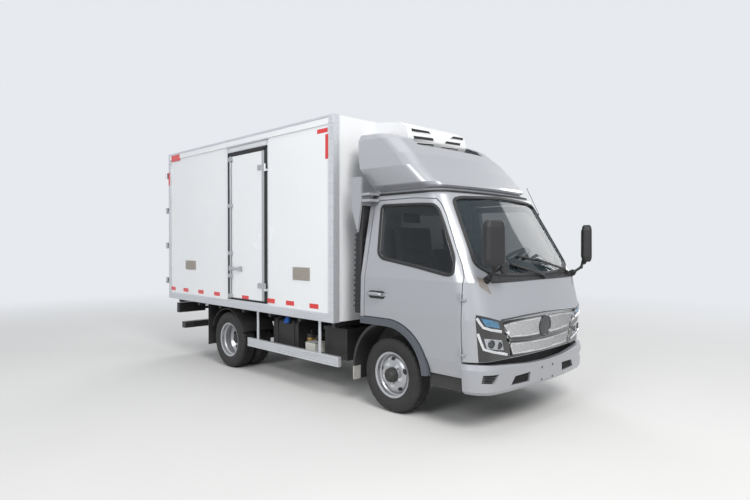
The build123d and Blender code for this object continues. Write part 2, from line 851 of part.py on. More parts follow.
def cab_shell():
    """Nose, pillars, roof and rear wall in one pressing, with its openings cut."""
    with BuildPart() as shell:
        add(skin(cab_rows, 0, cab_wall))
        lid(cab_rows, cab_wall)
        block((1200, 2140), (-1000, 1000), (590, cab_floor_z + cab_floor_thickness), Mode.SUBTRACT)
        block((1200, 2800), (-1000, 1000), (590, cab_base_z + 8), Mode.SUBTRACT)
        for start in (1100, -belt_half_depth):
            with BuildSketch(side_plane(start)):
                with BuildLine():
                    Polyline(*door_front, *opening_rear, (1338, 400), (door_front_x, 400), close=True)
                make_face()
                offset(amount=cab_gap, kind=Kind.INTERSECTION)
            extrude(amount=1100 - belt_half_depth, mode=Mode.SUBTRACT)
        front_profile(windshield_outline, 1900, 2800, Mode.SUBTRACT)
        front_profile(grille_outline, 2450, 2800, Mode.SUBTRACT)
        front_profile(headlamp_outline, headlamp_rear_x, 2800, Mode.SUBTRACT)
        front_profile([(-y, z) for y, z in headlamp_outline], headlamp_rear_x, 2800, Mode.SUBTRACT)
        block(*rear_window, Mode.SUBTRACT)
    return shell.part


def cab_glass():
    with BuildPart() as panes:
        add(skin(cab_rows, glass_inset, glass_inset + glass_thickness))
        front_profile(windshield_outline, 1900, 2800, Mode.INTERSECT)
        add(rear_pane())
    return panes.part


def rear_pane():
    with BuildPart() as pane:
        low, high = rear_window[2]
        low_x = row_at(cab_rows, low)[5] + 20
        high_x = row_at(cab_rows, high)[5] + 20
        side_profile([(low_x, low), (low_x + glass_thickness, low), (high_x + glass_thickness, high),
                      (high_x, high)], rear_window[1][1], rear_window[1][0])
    return pane.part


def bumper_arms():
    """Two arms from the tilt brackets forward to the inside of the bumper."""
    with BuildPart() as arms:
        block((pivot_x, 2740), (400, 425), (430, 500))
        mirror(about=Plane.XZ)
        body_loft(bumper_rows, bumper_wall + seat_gap, 0, Mode.INTERSECT)
    return arms.part


def cab_floor():
    """Floor with its footwell, engine cover, door sills and the brackets on the tilt tube."""
    top = cab_floor_z + cab_floor_thickness
    rear = cab_rows[1][5]
    riser = 2140
    with BuildPart() as floor:
        block((rear, riser), (-floor_half, floor_half), (cab_floor_z, top))
        block((riser - 20, riser), (-floor_half, floor_half), (footwell_z, cab_floor_z))
        with BuildSketch(Plane.XY.offset(footwell_z)):
            with BuildLine():
                Polyline((riser - 20, -floor_half), (2360, -floor_half), (2560, -720), (2640, -400), (2640, 400),
                         (2560, 720), (2360, floor_half), (riser - 20, floor_half), close=True)
            make_face()
        extrude(amount=25)
        block((1350, riser), (-300, 300), (cab_floor_z, 1060))
        block((1300, riser - 30), (-275, 275), (cab_floor_z - 40, 1035), Mode.SUBTRACT)
        eye = 44
        for y in (400, -425):
            side_profile([(pivot_x - eye, pivot_z), (pivot_x - eye, footwell_z), (pivot_x + 30, footwell_z),
                          (pivot_x + eye, pivot_z)], y + 25, y)
            rod((pivot_x, y, pivot_z), (pivot_x, y + 25, pivot_z), eye)
        add(bumper_arms())
        rod((pivot_x, -500, pivot_z), (pivot_x, 500, pivot_z), pivot_radius + running_clearance, Mode.SUBTRACT)
    return floor.part


def arch_band(inner, outer, y_start, y_end):
    """A band round the wheel arch in side view, running straight back from its top."""
    rear_x = cab_rows[1][5]
    with BuildSketch(side_plane(y_start)) as band:
        with BuildLine():
            front_in = polar(arch_centre_x, arch_centre_z, inner, arch_front_angle)
            front_out = polar(arch_centre_x, arch_centre_z, outer, arch_front_angle)
            top_out = (arch_centre_x, arch_centre_z + outer)
            top_in = (arch_centre_x, arch_centre_z + inner)
            ThreePointArc(top_out, polar(arch_centre_x, arch_centre_z, outer, 50), front_out)
            Line(front_out, front_in)
            ThreePointArc(front_in, polar(arch_centre_x, arch_centre_z, inner, 50), top_in)
            Line(top_in, (rear_x, top_in[1]))
            Line((rear_x, top_in[1]), (rear_x, top_out[1]))
            Line((rear_x, top_out[1]), top_out)
        make_face()
    extrude(band.sketch, amount=y_start - y_end)


def rear_quarter(inner, outer, y_start, y_end):
    """A quarter ring behind the wheel in side view."""
    with BuildSketch(side_plane(y_start)) as ring:
        with Locations((arch_centre_x, arch_centre_z)):
            Circle(outer)
            Circle(inner, mode=Mode.SUBTRACT)
            with Locations((-outer / 2, outer / 2)):
                Rectangle(outer, outer, mode=Mode.INTERSECT)
    extrude(ring.sketch, amount=y_start - y_end)


def front_arches():
    """The outer lip round each front wheel."""
    with BuildPart() as arches:
        arch_band(arch_inner, arch_outer, arch_lip_y, floor_half)
        mirror(about=Plane.XZ)
    return arches.part


def wheel_housings():
    """Liners round the front wheels, each with its edge and flap behind the wheel, and the steps ahead."""
    liner_outer = cab_floor_z - arch_centre_z
    liner_inner = liner_outer - arch_liner_thickness
    rear = arch_centre_x - liner_outer
    lip_low = arch_centre_z + arch_inner - seat_gap
    with BuildPart() as housings:
        arch_band(liner_inner, liner_outer, floor_half, liner_inner_y)
        rear_quarter(liner_inner, liner_outer, floor_half, liner_inner_y + 200)
        rear_quarter(liner_inner - 14, liner_outer + 6, liner_edge_y, floor_half)
        block((rear - 2, rear + arch_liner_thickness), (liner_inner_y + 200, liner_edge_y),
              (arch_flap_low, arch_centre_z))
        block((rear, arch_centre_x), (floor_half, liner_edge_y), (lip_low, arch_centre_z + arch_outer), Mode.SUBTRACT)
        block((step_rear_x, 2470), (850, 885), (345, 455))
        block((step_rear_x - 50, step_rear_x + 20), (800, 850), (345, footwell_z))
        block((2110, 2400), (800, 850), (footwell_z - 12, footwell_z))
        mirror(about=Plane.XZ)
    return housings.part


plate_hole_half_x = 95
plate_hole_low = 370
plate_hole_high = 480
plate_hole_radius = 5.5


def bumper():
    """The bumper, its top edge dipping to the middle, with its air slots and plate holes."""
    with BuildPart() as bar:
        add(skin(bumper_rows, 0, bumper_wall, -60))
        block((2300, 2490), (-1000, 1000), (300, 700), Mode.SUBTRACT)
        front_profile(bumper_dip, 2450, 2800, Mode.SUBTRACT)
        for side in (-1, 1):
            for outline in (outer_recess, inner_recess):
                front_profile([(side * y, z) for y, z in outline], 2450, 2800, Mode.SUBTRACT)
        for y in (-plate_hole_half_x, plate_hole_half_x):
            for z in (plate_hole_low, plate_hole_high):
                rod((2650, y, z), (2800, y, z), plate_hole_radius, Mode.SUBTRACT)
    return bar.part


def bumper_inserts():
    """Dark panels set back in the bumper's slots."""
    with BuildPart() as inserts:
        add(skin(bumper_rows, 22, 36, -60))
        with BuildSketch(front_plane(2450)):
            for side in (-1, 1):
                for outline in (outer_recess, inner_recess):
                    with BuildLine():
                        Polyline(*[(side * y, z) for y, z in outline], close=True)
                    make_face()
        extrude(amount=350, mode=Mode.INTERSECT)
    return inserts.part


def grille():
    with BuildPart() as panel:
        add(skin(cab_rows, 6, 30))
        front_profile(grille_outline, 2500, 2800, Mode.INTERSECT)
    return panel.part


def headlamps():
    with BuildPart() as lamps:
        add(skin(cab_rows, -4, cab_wall))
        with BuildSketch(front_plane(headlamp_rear_x)):
            for side in (-1, 1):
                with BuildLine():
                    Polyline(*[(side * y, z) for y, z in headlamp_outline], close=True)
                make_face()
        extrude(amount=200, mode=Mode.INTERSECT)
    return lamps.part


def cowl():
    """The black panel along the foot of the glass."""
    with BuildPart() as panel:
        add(skin(cab_rows, -5, 0))
        front_profile(cowl_outline, 2400, 2800, Mode.INTERSECT)
    return panel.part


# Mirror head sections. Columns: height, width, depth, corner radius.
mirror_rows = [
    (1400, 150, 66, 28),
    (1416, 176, 88, 33),
    (1450, 186, 100, 36),
    (1715, 178, 96, 35),
    (1750, 166, 84, 32),
    (1766, 140, 60, 26),
]
mirror_turn = 25
mirror_y = 827
mirror_foot = (2604, 740, 1275)
mirror_foot_reach = (34, 5, 19)
mirror_elbow = (2700, 782, 1345)
round_mirror = (2742, 690, 1384)


def mirror_middle_x():
    """Where the head stands so that its front lies as far from the middle as the rear hinges do."""
    turn = radians(mirror_turn)
    reaches = [(width / 2 - corner) * sin(turn) + (depth / 2 - corner) * cos(turn) + corner
               for height, width, depth, corner in mirror_rows]
    return reach_x - max(reaches)


def mirror_head():
    """The left head with its foot and arm."""
    middle = (mirror_middle_x(), mirror_y)
    sections = []
    for height, width, depth, corner in mirror_rows:
        with BuildSketch(Plane.XY.offset(height)) as section:
            with Locations(Location((*middle, 0), (0, 0, mirror_turn))):
                RectangleRounded(depth, width, corner)
        sections.append(section.sketch)
    foot_top = tuple(a + b for a, b in zip(mirror_foot, mirror_foot_reach))
    foot_root = tuple(a - b for a, b in zip(mirror_foot, mirror_foot_reach))
    neck = (middle[0] - 12, mirror_y - 30, mirror_rows[2][0])
    with BuildPart() as head:
        loft(sections, ruled=True)
        rod(foot_root, foot_top, 32)
        rod(foot_top, mirror_elbow, 13)
        rod(mirror_elbow, neck, 13)
        with Locations(foot_top, mirror_elbow):
            Sphere(17)
        body_loft(cab_rows, -seat_gap, -seat_gap, Mode.SUBTRACT)
    return head.part


def mirrors():
    """Two mirror heads, each on an arm from the nose's upper corner, and the round one on the right."""
    x, y, z = round_mirror
    with BuildPart() as dish:
        rod((x - 17, -y, z), (x + 17, -y, z), 58)
        fillet(dish.edges().filter_by(GeomType.CIRCLE), 14)
        elbow_x, elbow_y, elbow_z = mirror_elbow
        rod((elbow_x, -elbow_y, elbow_z), (x, -y - 20, z), 9)
    head = mirror_head()
    return join(head, mirrored(head), dish.part)


def dashboard():
    """The fascia under the windshield, with the steering column and wheel on the left."""
    wheel_centre = (2170, 380, 1400)
    wheel_normal = (-0.6, 0, 0.8)
    with BuildPart() as dash:
        side_profile([(2700, 1010), (2700, 1225), (2560, 1245), (2330, 1310), (2220, 1230), (2260, 1010)],
                     840, -840)
        body_loft(cab_rows, cab_wall + seat_gap, 0, Mode.INTERSECT)
        rod((2330, 380, 1190), wheel_centre, 24)
        with BuildSketch(Plane(origin=wheel_centre, z_dir=wheel_normal)):
            Circle(205)
            Circle(181, mode=Mode.SUBTRACT)
            Rectangle(380, 34)
            Circle(60)
        extrude(amount=26)
    return dash.part


def seats():
    """Two seats with their backs and headrests, on pedestals beside the engine cover."""
    with BuildPart() as chairs:
        for side in (-1, 1):
            near, far = side * 115, side * 660
            middle = (near + far) / 2
            block((1480, 2000), sorted((near, far)), (1065, 1240))
            side_profile([(1480, 1240), (1600, 1240), (1500, 1760), (1410, 1760)], max(near, far), min(near, far))
            side_profile([(1440, 1760), (1500, 1760), (1480, 1900), (1425, 1900)], middle + 130, middle - 130)
            block((1500, 1960), sorted((side * 305, far)), (cab_floor_z + cab_floor_thickness, 1065))
    return chairs.part


def fairing():
    with BuildPart() as deflector:
        add(skin(fairing_rows, 0, fairing_thickness, -60))
        lid(fairing_rows, fairing_thickness)
        block((1000, 1720), (-545, 545), (2535, 2800), Mode.SUBTRACT)
    return deflector.part


shield_thickness = 22


def gap_shields():
    """A short plate at each upper rear corner of the cab, closing the gap to the box."""
    with BuildPart() as shields:
        side_profile([(1290, 2230), (1150, 2230), (1155, 1950), (1240, 1690), (1290, 1960)],
                     cab_rows[1][2], cab_rows[1][2] - shield_thickness)
        for z in (1985, 2045):
            block((1200, 1400), (700, cab_rows[1][2] - shield_thickness / 2), (z, z + 24))
        mirror(about=Plane.XZ)
        body_loft(cab_rows, -seat_gap, -seat_gap, Mode.SUBTRACT)
    return shields.part


# Air duct behind the cab's right rear corner. Columns: height, rear, front.
duct_rows = [(900, 1150, 1240), (1650, 1170, 1258), (1950, 1225, 1292)]
duct_sides = (-900, -780)


def snorkel():
    """The air duct, standing up behind the cab on two brackets."""
    sections = []
    for height, rear, front in duct_rows:
        with BuildSketch(Plane.XY.offset(height)) as section:
            with Locations(((rear + front) / 2, sum(duct_sides) / 2)):
                RectangleRounded(front - rear, duct_sides[1] - duct_sides[0], 24)
        sections.append(section.sketch)
    with BuildPart() as intake:
        loft(sections, ruled=True)
        for z in (1100, 1600):
            block((1220, 1400), (duct_sides[0] + 40, duct_sides[1] - 40), (z, z + 30))
        body_loft(cab_rows, -seat_gap, -seat_gap, Mode.SUBTRACT)
    return intake.part


# Steering knuckles
def knuckle():
    """The left knuckle. Its right twin is its mirror image."""
    axle_z = tyre_radius
    half = axle_eye_height / 2 + yoke_gap
    with BuildPart() as piece:
        block((front_axle_x - 45, front_axle_x + 45), (kingpin_y + 42, kingpin_y + 66),
              (axle_z - half - yoke_thickness, axle_z + half + yoke_thickness))
        for low in (axle_z + half, axle_z - half - yoke_thickness):
            block((front_axle_x - 32, front_axle_x + 32), (kingpin_y, kingpin_y + 50), (low, low + yoke_thickness))
            rod((front_axle_x, kingpin_y, low), (front_axle_x, kingpin_y, low + yoke_thickness), 32)
        rod((front_axle_x, kingpin_y + 60, axle_z), (front_axle_x, kingpin_y + 180, axle_z), stub_radius)
        rod((front_axle_x, kingpin_y, axle_z - 90), (front_axle_x, kingpin_y, axle_z + 90),
            kingpin_radius + running_clearance, Mode.SUBTRACT)
        rod((front_axle_x, kingpin_y + 50, axle_z), (front_axle_x, kingpin_y + 62, axle_z), 150)
        block((front_axle_x - 60, front_axle_x + 60), (kingpin_y - 40, kingpin_y + 45),
              (axle_z - half, axle_z + half), Mode.SUBTRACT)
    return piece.part


# Wheels. Axial distances run outwards from the tyre's middle plane.
def wheel_plane(axle_x):
    """Local x runs to the truck's left and local y up, through the axle's axis."""
    return Plane(origin=(axle_x, 0, tyre_radius), x_dir=(0, 1, 0), z_dir=(1, 0, 0))


bead_half = 68
rim_seat_gap = 0.3
tyre_profile = [
    (-bead_half, seat_radius), (-86, 230), (-tyre_width / 2, 275), (-97, 315), (-81, tyre_radius - 6),
    (-56, tyre_radius), (56, tyre_radius), (81, tyre_radius - 6), (97, 315), (tyre_width / 2, 275), (86, 230),
    (bead_half, seat_radius), (50, seat_radius), (50, 228), (-50, 228), (-50, seat_radius),
]
seat = seat_radius - rim_seat_gap
barrel_half = [(bead_half + 0.5, seat), (78, flange_radius), (84, flange_radius), (77, seat - 8), (42, seat - 8),
               (30, 180)]
barrel_profile = (
    [(-40, seat), (-28, 188), (28, 188), (40, seat)]
    + barrel_half
    + [(-a, r) for a, r in reversed(barrel_half)]
)


def revolve_profile(profile, axle_x, middle_y, side, mode=Mode.ADD):
    with BuildSketch(wheel_plane(axle_x)) as half_section:
        with BuildLine():
            Polyline(*[(middle_y + side * a, r) for a, r in profile], close=True)
        make_face()
    revolve(half_section.sketch, axis=Axis((axle_x, 0, tyre_radius), (0, 1, 0)), mode=mode)


def tyre(axle_x, middles, side):
    with BuildPart() as rubber:
        for middle in middles:
            revolve_profile(tyre_profile, axle_x, middle, side)
    return rubber.part


disc_thickness = 12
hub_radius = 66


def disc_profile(plane_at):
    """The wheel disc from its barrel to the hub, and the hub itself."""
    step = disc_thickness
    return [(-20, 182), (20, 182), (plane_at - 10, 160), (plane_at, 140), (plane_at, hub_radius),
            (plane_at + 45, hub_radius - 4), (plane_at + 45, 0), (plane_at + 36, 0),
            (plane_at + 36, stub_radius + running_clearance),
            (plane_at - 60, stub_radius + running_clearance), (plane_at - 60, 120), (plane_at - step, 124),
            (plane_at - step - 12, 152)]


def hand_holes(axle_x, y_low, y_high):
    ring = 150
    for number in range(hand_hole_count):
        angle = radians(90 + number * 360 / hand_hole_count)
        x = axle_x + ring * cos(angle)
        z = tyre_radius + ring * sin(angle)
        rod((x, y_low, z), (x, y_high, z), 22, Mode.SUBTRACT)


def front_rim(side):
    middle = side * front_track / 2
    with BuildPart() as rim:
        revolve_profile(barrel_profile, front_axle_x, middle, side)
        revolve_profile(disc_profile(62), front_axle_x, middle, side)
        hand_holes(front_axle_x, middle + side * 5, middle + side * 90)
    return rim.part


def rear_rims(side):
    hub_face = side * rear_hub_spread / 2
    inner_middle = hub_face - side * twin_spacing / 2
    outer_middle = hub_face + side * twin_spacing / 2
    with BuildPart() as rims:
        revolve_profile(barrel_profile, rear_axle_x, inner_middle, side)
        revolve_profile(barrel_profile, rear_axle_x, outer_middle, side)
        bore = stub_radius + running_clearance
        dish = [(50, 198), (70, 198), (28, 158), (12, 138), (12, hub_radius), (95, hub_radius - 4), (95, 0),
                (85, 0), (85, bore), (-70, bore), (-70, 120), (-12, 124), (-12, 138), (-28, 158), (-70, 198),
                (-50, 198), (-10, 158), (0, 142), (10, 158)]
        revolve_profile(dish, rear_axle_x, hub_face, side)
        hand_holes(rear_axle_x, hub_face - side * 60, hub_face + side * 60)
    return rims.part


# Write every piece
export(frame_rails(), "frame_rails")
export(join(cross_members(), cab_pivot(), cab_rear_seats()), "cross_members")
export(box_sills(), "box_sills")
export(front_axle(), "front_axle")
export(rear_axle(), "rear_axle")
export(leaf_springs(), "leaf_springs")
export(driveline(), "driveline")
export(fuel_tank(), "fuel_tank")
export(battery_box(), "battery_box")
export(urea_tank(), "urea_tank")
export(silencer(), "silencer")
export(side_guards(), "side_guards")
export(rear_guard(), "rear_guard")
export(tail_lamps(), "tail_lamps")
export(rear_mudguards(), "rear_mudguards")
export(box_floor(), "box_floor")
export(box_roof(), "box_roof")
export(box_front_wall(), "box_front_wall")
export(box_wall(-1), "box_wall_right")
export(box_wall(1), "box_wall_left")
export(join(box_rear_frame(), rear_door_fixed_hinges()), "box_rear_frame")
export(join(box_trim(), side_door_fixed_hinges()), "box_trim")
export(reefer_unit(), "reefer_unit")
export(side_door(), "side_door")
export(side_door_hardware(), "side_door_hardware")
export(rear_door(), "rear_door_right")
export(mirrored(rear_door()), "rear_door_left")
export(rear_door_hardware(), "rear_door_right_hardware")
export(mirrored(rear_door_hardware()), "rear_door_left_hardware")
export(join(cab_shell(), cab_hinge_lugs(), mirrored(cab_hinge_lugs())), "cab_shell")
export(cab_glass(), "cab_glass")
export(cab_floor(), "cab_floor")
export(front_arches(), "front_arches")
export(wheel_housings(), "wheel_housings")
export(bumper(), "bumper")
export(bumper_inserts(), "bumper_inserts")
export(grille(), "grille")
export(headlamps(), "headlamps")
export(cowl(), "cowl")
export(mirrors(), "mirrors")
export(dashboard(), "dashboard")
export(seats(), "seats")
export(fairing(), "fairing")
export(gap_shields(), "gap_shields")
export(snorkel(), "snorkel")
left_door = join(cab_door(), door_handle(), cab_hinge_barrels())
export(left_door, "cab_door_left")
export(mirrored(left_door), "cab_door_right")
export(door_glass(), "door_glass_left")
export(mirrored(door_glass()), "door_glass_right")
export(knuckle(), "knuckle_left")
export(mirrored(knuckle()), "knuckle_right")
for side, word in ((1, "left"), (-1, "right")):
    hub_face = side * rear_hub_spread / 2
    twins = (hub_face - side * twin_spacing / 2, hub_face + side * twin_spacing / 2)
    export(tyre(front_axle_x, (side * front_track / 2,), side), f"front_tyre_{word}")
    export(front_rim(side), f"front_rim_{word}")
    export(tyre(rear_axle_x, twins, side), f"rear_tyres_{word}")
    export(rear_rims(side), f"rear_rims_{word}")
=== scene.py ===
import json
import math

import bmesh
import bpy
from mathutils import Matrix, Vector
from mathutils.bvhtree import BVHTree


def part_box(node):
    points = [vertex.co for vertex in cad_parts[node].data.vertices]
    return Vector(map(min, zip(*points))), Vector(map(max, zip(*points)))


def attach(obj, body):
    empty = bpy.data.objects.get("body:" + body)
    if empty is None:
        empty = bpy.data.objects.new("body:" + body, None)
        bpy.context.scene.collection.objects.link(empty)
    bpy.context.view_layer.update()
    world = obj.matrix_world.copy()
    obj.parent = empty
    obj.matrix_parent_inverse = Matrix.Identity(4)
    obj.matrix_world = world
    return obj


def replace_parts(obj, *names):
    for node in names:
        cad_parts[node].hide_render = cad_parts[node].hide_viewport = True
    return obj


# The refrigerated truck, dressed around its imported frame. Metres, +X forward, +Y to its left, +Z up.
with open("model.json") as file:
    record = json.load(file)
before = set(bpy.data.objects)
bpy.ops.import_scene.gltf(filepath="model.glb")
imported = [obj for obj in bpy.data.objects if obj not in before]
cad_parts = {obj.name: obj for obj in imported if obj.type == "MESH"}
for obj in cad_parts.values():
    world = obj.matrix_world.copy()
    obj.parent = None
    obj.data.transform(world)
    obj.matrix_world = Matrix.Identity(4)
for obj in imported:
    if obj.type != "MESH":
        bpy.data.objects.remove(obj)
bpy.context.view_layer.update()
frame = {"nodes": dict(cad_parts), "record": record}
nodes = frame["nodes"]

RIGHT, LEFT = -1, 1
SIDE_NAMES = {RIGHT: "right", LEFT: "left"}


# Materials
class Tree:
    """The shader nodes of a material or of the world."""

    def __init__(self, owner):
        owner.use_nodes = True
        self.nodes, self.links = owner.node_tree.nodes, owner.node_tree.links

    def fill(self, node, values):
        """Sets the inputs of a node, and joins those whose value is another node's output."""
        for key, value in values.items():
            if isinstance(value, bpy.types.NodeSocket):
                self.links.new(value, node.inputs[key])
            else:
                node.inputs[key].default_value = value

    def add(self, kind, values, result, **settings):
        """A new node's output of the name given in result."""
        made = self.nodes.new("ShaderNode" + kind)
        for name, value in settings.items():
            setattr(made, name, value)
        self.fill(made, values)
        return made.outputs[result]


def noise(tree, scale, detail=3.0, stretch=(1, 1, 1)):
    """Noise fixed to the piece, stretched along its axes."""
    place = tree.add("Mapping", {"Vector": tree.add("TexCoord", {}, "Object"), "Scale": stretch}, "Vector")
    return tree.add("TexNoise", {"Vector": place, "Scale": scale, "Detail": detail}, "Fac")


def ramp(tree, source, low, high):
    """A colour that runs from low to high as the source rises."""
    made = tree.nodes.new("ShaderNodeValToRGB")
    for element, at, colour in zip(made.color_ramp.elements, (0.3, 0.7), (low, high)):
        element.position = at
        element.color = (*colour, 1)
    tree.links.new(source, made.inputs["Fac"])
    return made.outputs["Color"]


def spread(tree, source, low, high):
    """A number that runs from low to high as the source rises."""
    return tree.add("MapRange", {"Value": source, "To Min": low, "To Max": high}, "Result")


def bump(tree, source, strength, depth):
    return tree.add("Bump", {"Height": source, "Strength": strength, "Distance": depth}, "Normal")


def dusted(tree, colour, dust, top, most=0.14):
    """Road dust that fades out upwards, in metres over the ground."""
    height = tree.add("SeparateXYZ", {"Vector": tree.add("TexCoord", {}, "Object")}, "Z")
    limits = {"Value": height, "From Min": 0.1, "From Max": top, "To Min": most, "To Max": 0.0}
    fade = tree.add("MapRange", limits, "Result")
    amount = tree.add("Math", {0: fade, 1: noise(tree, 9.0, 8.0)}, "Value", operation="MULTIPLY")
    return tree.add("Mix", {"Factor": amount, "A": colour, "B": (*dust, 1)}, "Result", data_type="RGBA")


def shaded(name, look):
    """A material whose shader inputs come from a function of its tree."""
    made = bpy.data.materials.new(name)
    tree = Tree(made)
    tree.fill(tree.nodes["Principled BSDF"], look(tree))
    return made


DUST = (0.34, 0.31, 0.27)


def surface(name, colour, roughness, metallic=0.0, coat=0.0, vary=0.06, grain=30.0, rough_vary=0.05,
            bump_scale=0.0, bump_depth=0.0, stretch=(1, 1, 1), dust_top=0.0):
    """A procedural finish: a colour and a roughness that wander a little, with a fine bump and road dust."""
    def look(tree):
        field = noise(tree, grain, 5.0, stretch)
        tint = ramp(tree, field, [c * (1 - vary) for c in colour], [c * (1 + vary) for c in colour])
        if dust_top:
            tint = dusted(tree, tint, DUST, dust_top)
        values = {"Base Color": tint, "Metallic": metallic, "Coat Weight": coat, "Coat Roughness": 0.06,
                  "Roughness": spread(tree, field, roughness - rough_vary, roughness + rough_vary)}
        if bump_depth:
            values["Normal"] = bump(tree, noise(tree, bump_scale, 4.0, stretch), 0.5, bump_depth)
        return values

    return shaded(name, look)


def glass(name, tint, alpha):
    """Thin glazing: a glossy, faintly tinted layer that lets most light through."""
    def look(tree):
        field = noise(tree, 2.0, 2.0)
        return {"Base Color": ramp(tree, field, [c * 0.94 for c in tint], tint),
                "Roughness": spread(tree, field, 0.02, 0.05), "Alpha": alpha}

    return shaded(name, look)


def rubber(tree):
    """Black rubber with a dusty bloom."""
    field = noise(tree, 16.0, 7.0)
    tint = ramp(tree, field, (0.009, 0.009, 0.010), (0.020, 0.0195, 0.019))
    return {"Base Color": dusted(tree, tint, (0.10, 0.095, 0.09), 0.5, 0.12),
            "Roughness": spread(tree, field, 0.55, 0.78),
            "Normal": bump(tree, noise(tree, 380.0), 0.4, 0.0006)}


# Finishes. Columns: name, colour, roughness, metal, coat, wander of the colour, grain, wander of the roughness,
# the bump's scale and depth, stretch of the grain, height that road dust reaches.
SILVER = surface("cab silver", (0.35, 0.36, 0.385), 0.34, 0.4, 0.7, 0.03, 260, 0.03, 700, 0.00012, dust_top=0.5)
BOX_WHITE = surface("box white", (0.74, 0.755, 0.775), 0.26, 0, 0.45, 0.012, 1.2, 0.04, 3, 0.0006, dust_top=0.75)
UNIT_WHITE = surface("unit white", (0.74, 0.75, 0.765), 0.34, 0, 0.3, 0.02, 5, 0.05, 40, 0.0002)
STAINLESS = surface("stainless", (0.5, 0.51, 0.52), 0.3, 1, 0, 0.08, 60, 0.08, 300, 0.0001, (1, 1, 0.05))
ALUMINIUM = surface("aluminium", (0.6, 0.62, 0.65), 0.36, 0.5, 0, 0.06, 40, 0.06, 220, 0.0001, (0.05, 1, 1), 0.7)
CHASSIS = surface("chassis black", (0.011, 0.011, 0.0125), 0.5, 0, 0.1, 0.2, 14, 0.1, 90, 0.0003, dust_top=1.1)
CASTING = surface("casting", (0.02, 0.02, 0.022), 0.6, 0.1, 0, 0.25, 30, 0.1, 120, 0.0006, dust_top=1.0)
SPRING = surface("spring leaves", (0.045, 0.043, 0.042), 0.55, 0.3, 0, 0.2, 22, 0.08, 60, 0.0003, dust_top=1.0)
ENGINE = surface("engine block", (0.13, 0.13, 0.135), 0.55, 0.35, 0, 0.2, 18, 0.1, 70, 0.0006, dust_top=1.0)
PLASTIC = surface("black plastic", (0.012, 0.012, 0.0135), 0.52, 0, 0, 0.15, 60, 0.05, 900, 0.0002, dust_top=0.8)
ARCH = surface("arch plastic", (0.07, 0.078, 0.095), 0.5, 0, 0, 0.12, 50, 0.05, 800, 0.0002, dust_top=0.9)
GLOSS_BLACK = surface("gloss black", (0.012, 0.012, 0.014), 0.12, 0, 0.8, 0.1, 40, 0.03)
DARK_CHROME = surface("dark chrome", (0.1, 0.103, 0.11), 0.2, 0.9, 0, 0.08, 40, 0.04)
CHROME = surface("bright trim", (0.78, 0.79, 0.8), 0.12, 0.95, 0, 0.04, 40, 0.03)
EXHAUST = surface("exhaust", (0.24, 0.2, 0.17), 0.55, 0.8, 0, 0.25, 12, 0.12, 80, 0.0005, dust_top=0.8)
RIM = surface("rim paint", (0.42, 0.43, 0.45), 0.3, 0.6, 0.35, 0.05, 60, 0.06, 200, 0.00015, dust_top=0.55)
INTERIOR = surface("interior plastic", (0.05, 0.05, 0.055), 0.6, 0, 0, 0.12, 50, 0.05, 700, 0.0003)
CLOTH = surface("seat cloth", (0.045, 0.047, 0.055), 0.85, 0, 0, 0.25, 500, 0.05, 1600, 0.0006)
RUBBER = surface("seal rubber", (0.012, 0.012, 0.013), 0.6, 0, 0, 0.15, 80, 0.06, 500, 0.0002)
RED_TAPE = surface("red reflector", (0.62, 0.02, 0.02), 0.3, 0, 0.5, 0.08, 400, 0.05)
RED_LENS = surface("red lens", (0.42, 0.012, 0.012), 0.12, 0, 1, 0.1, 60, 0.03, 300, 0.0003)
AMBER_LENS = surface("amber lens", (0.75, 0.24, 0.015), 0.14, 0, 1, 0.1, 60, 0.03, 300, 0.0003)
CLEAR_LENS = surface("clear lens", (0.34, 0.36, 0.39), 0.1, 0.3, 0.6, 0.12, 90, 0.03, 220, 0.0005)
BLUE_LENS = surface("blue lens", (0.045, 0.16, 0.28), 0.1, 0.15, 1, 0.3, 40, 0.03, 160, 0.0004)
BRASS = surface("filter bowl", (0.42, 0.27, 0.08), 0.35, 0.7, 0, 0.1, 40, 0.06)
CAP_BLUE = surface("cap blue", (0.02, 0.13, 0.5), 0.4, 0, 0.1, 0.08, 60, 0.05)
NATURAL = surface("reservoir plastic", (0.6, 0.6, 0.55), 0.45, 0, 0, 0.06, 30, 0.05, dust_top=0.8)
SERVICE = surface("service plate", (0.3, 0.27, 0.24), 0.5, 0.2, 0, 0.08, 60, 0.06, 300, 0.0003)
MIRROR = surface("mirror glass", (0.82, 0.84, 0.86), 0.03, 1, 0, 0.02, 20, 0.01)
GRILLE_SILVER = surface("grille mesh", (0.62, 0.63, 0.645), 0.38, 0.2, 0, 0.06, 60, 0.05)
# Painted shade: the dark colour of the grille's studs stands in for the shade in the mesh's holes.
GRILLE_SHADE = surface("grille hole shade", (0.05, 0.05, 0.053), 0.5, 0.1, 0, 0.08, 60, 0.05)
SMOKED = surface("smoked plastic", (0.23, 0.205, 0.185), 0.3, 0, 0.6, 0.1, 40, 0.05)
PALE_FLAP = surface("pale mud flap", (0.34, 0.335, 0.325), 0.6, 0, 0, 0.1, 30, 0.05)
SCREEN_GLASS = glass("windshield glass", (0.02, 0.034, 0.042), 0.48)
SIDE_GLASS = glass("door window glass", (0.012, 0.016, 0.019), 0.38)
TYRE = shaded("tyre rubber", rubber)

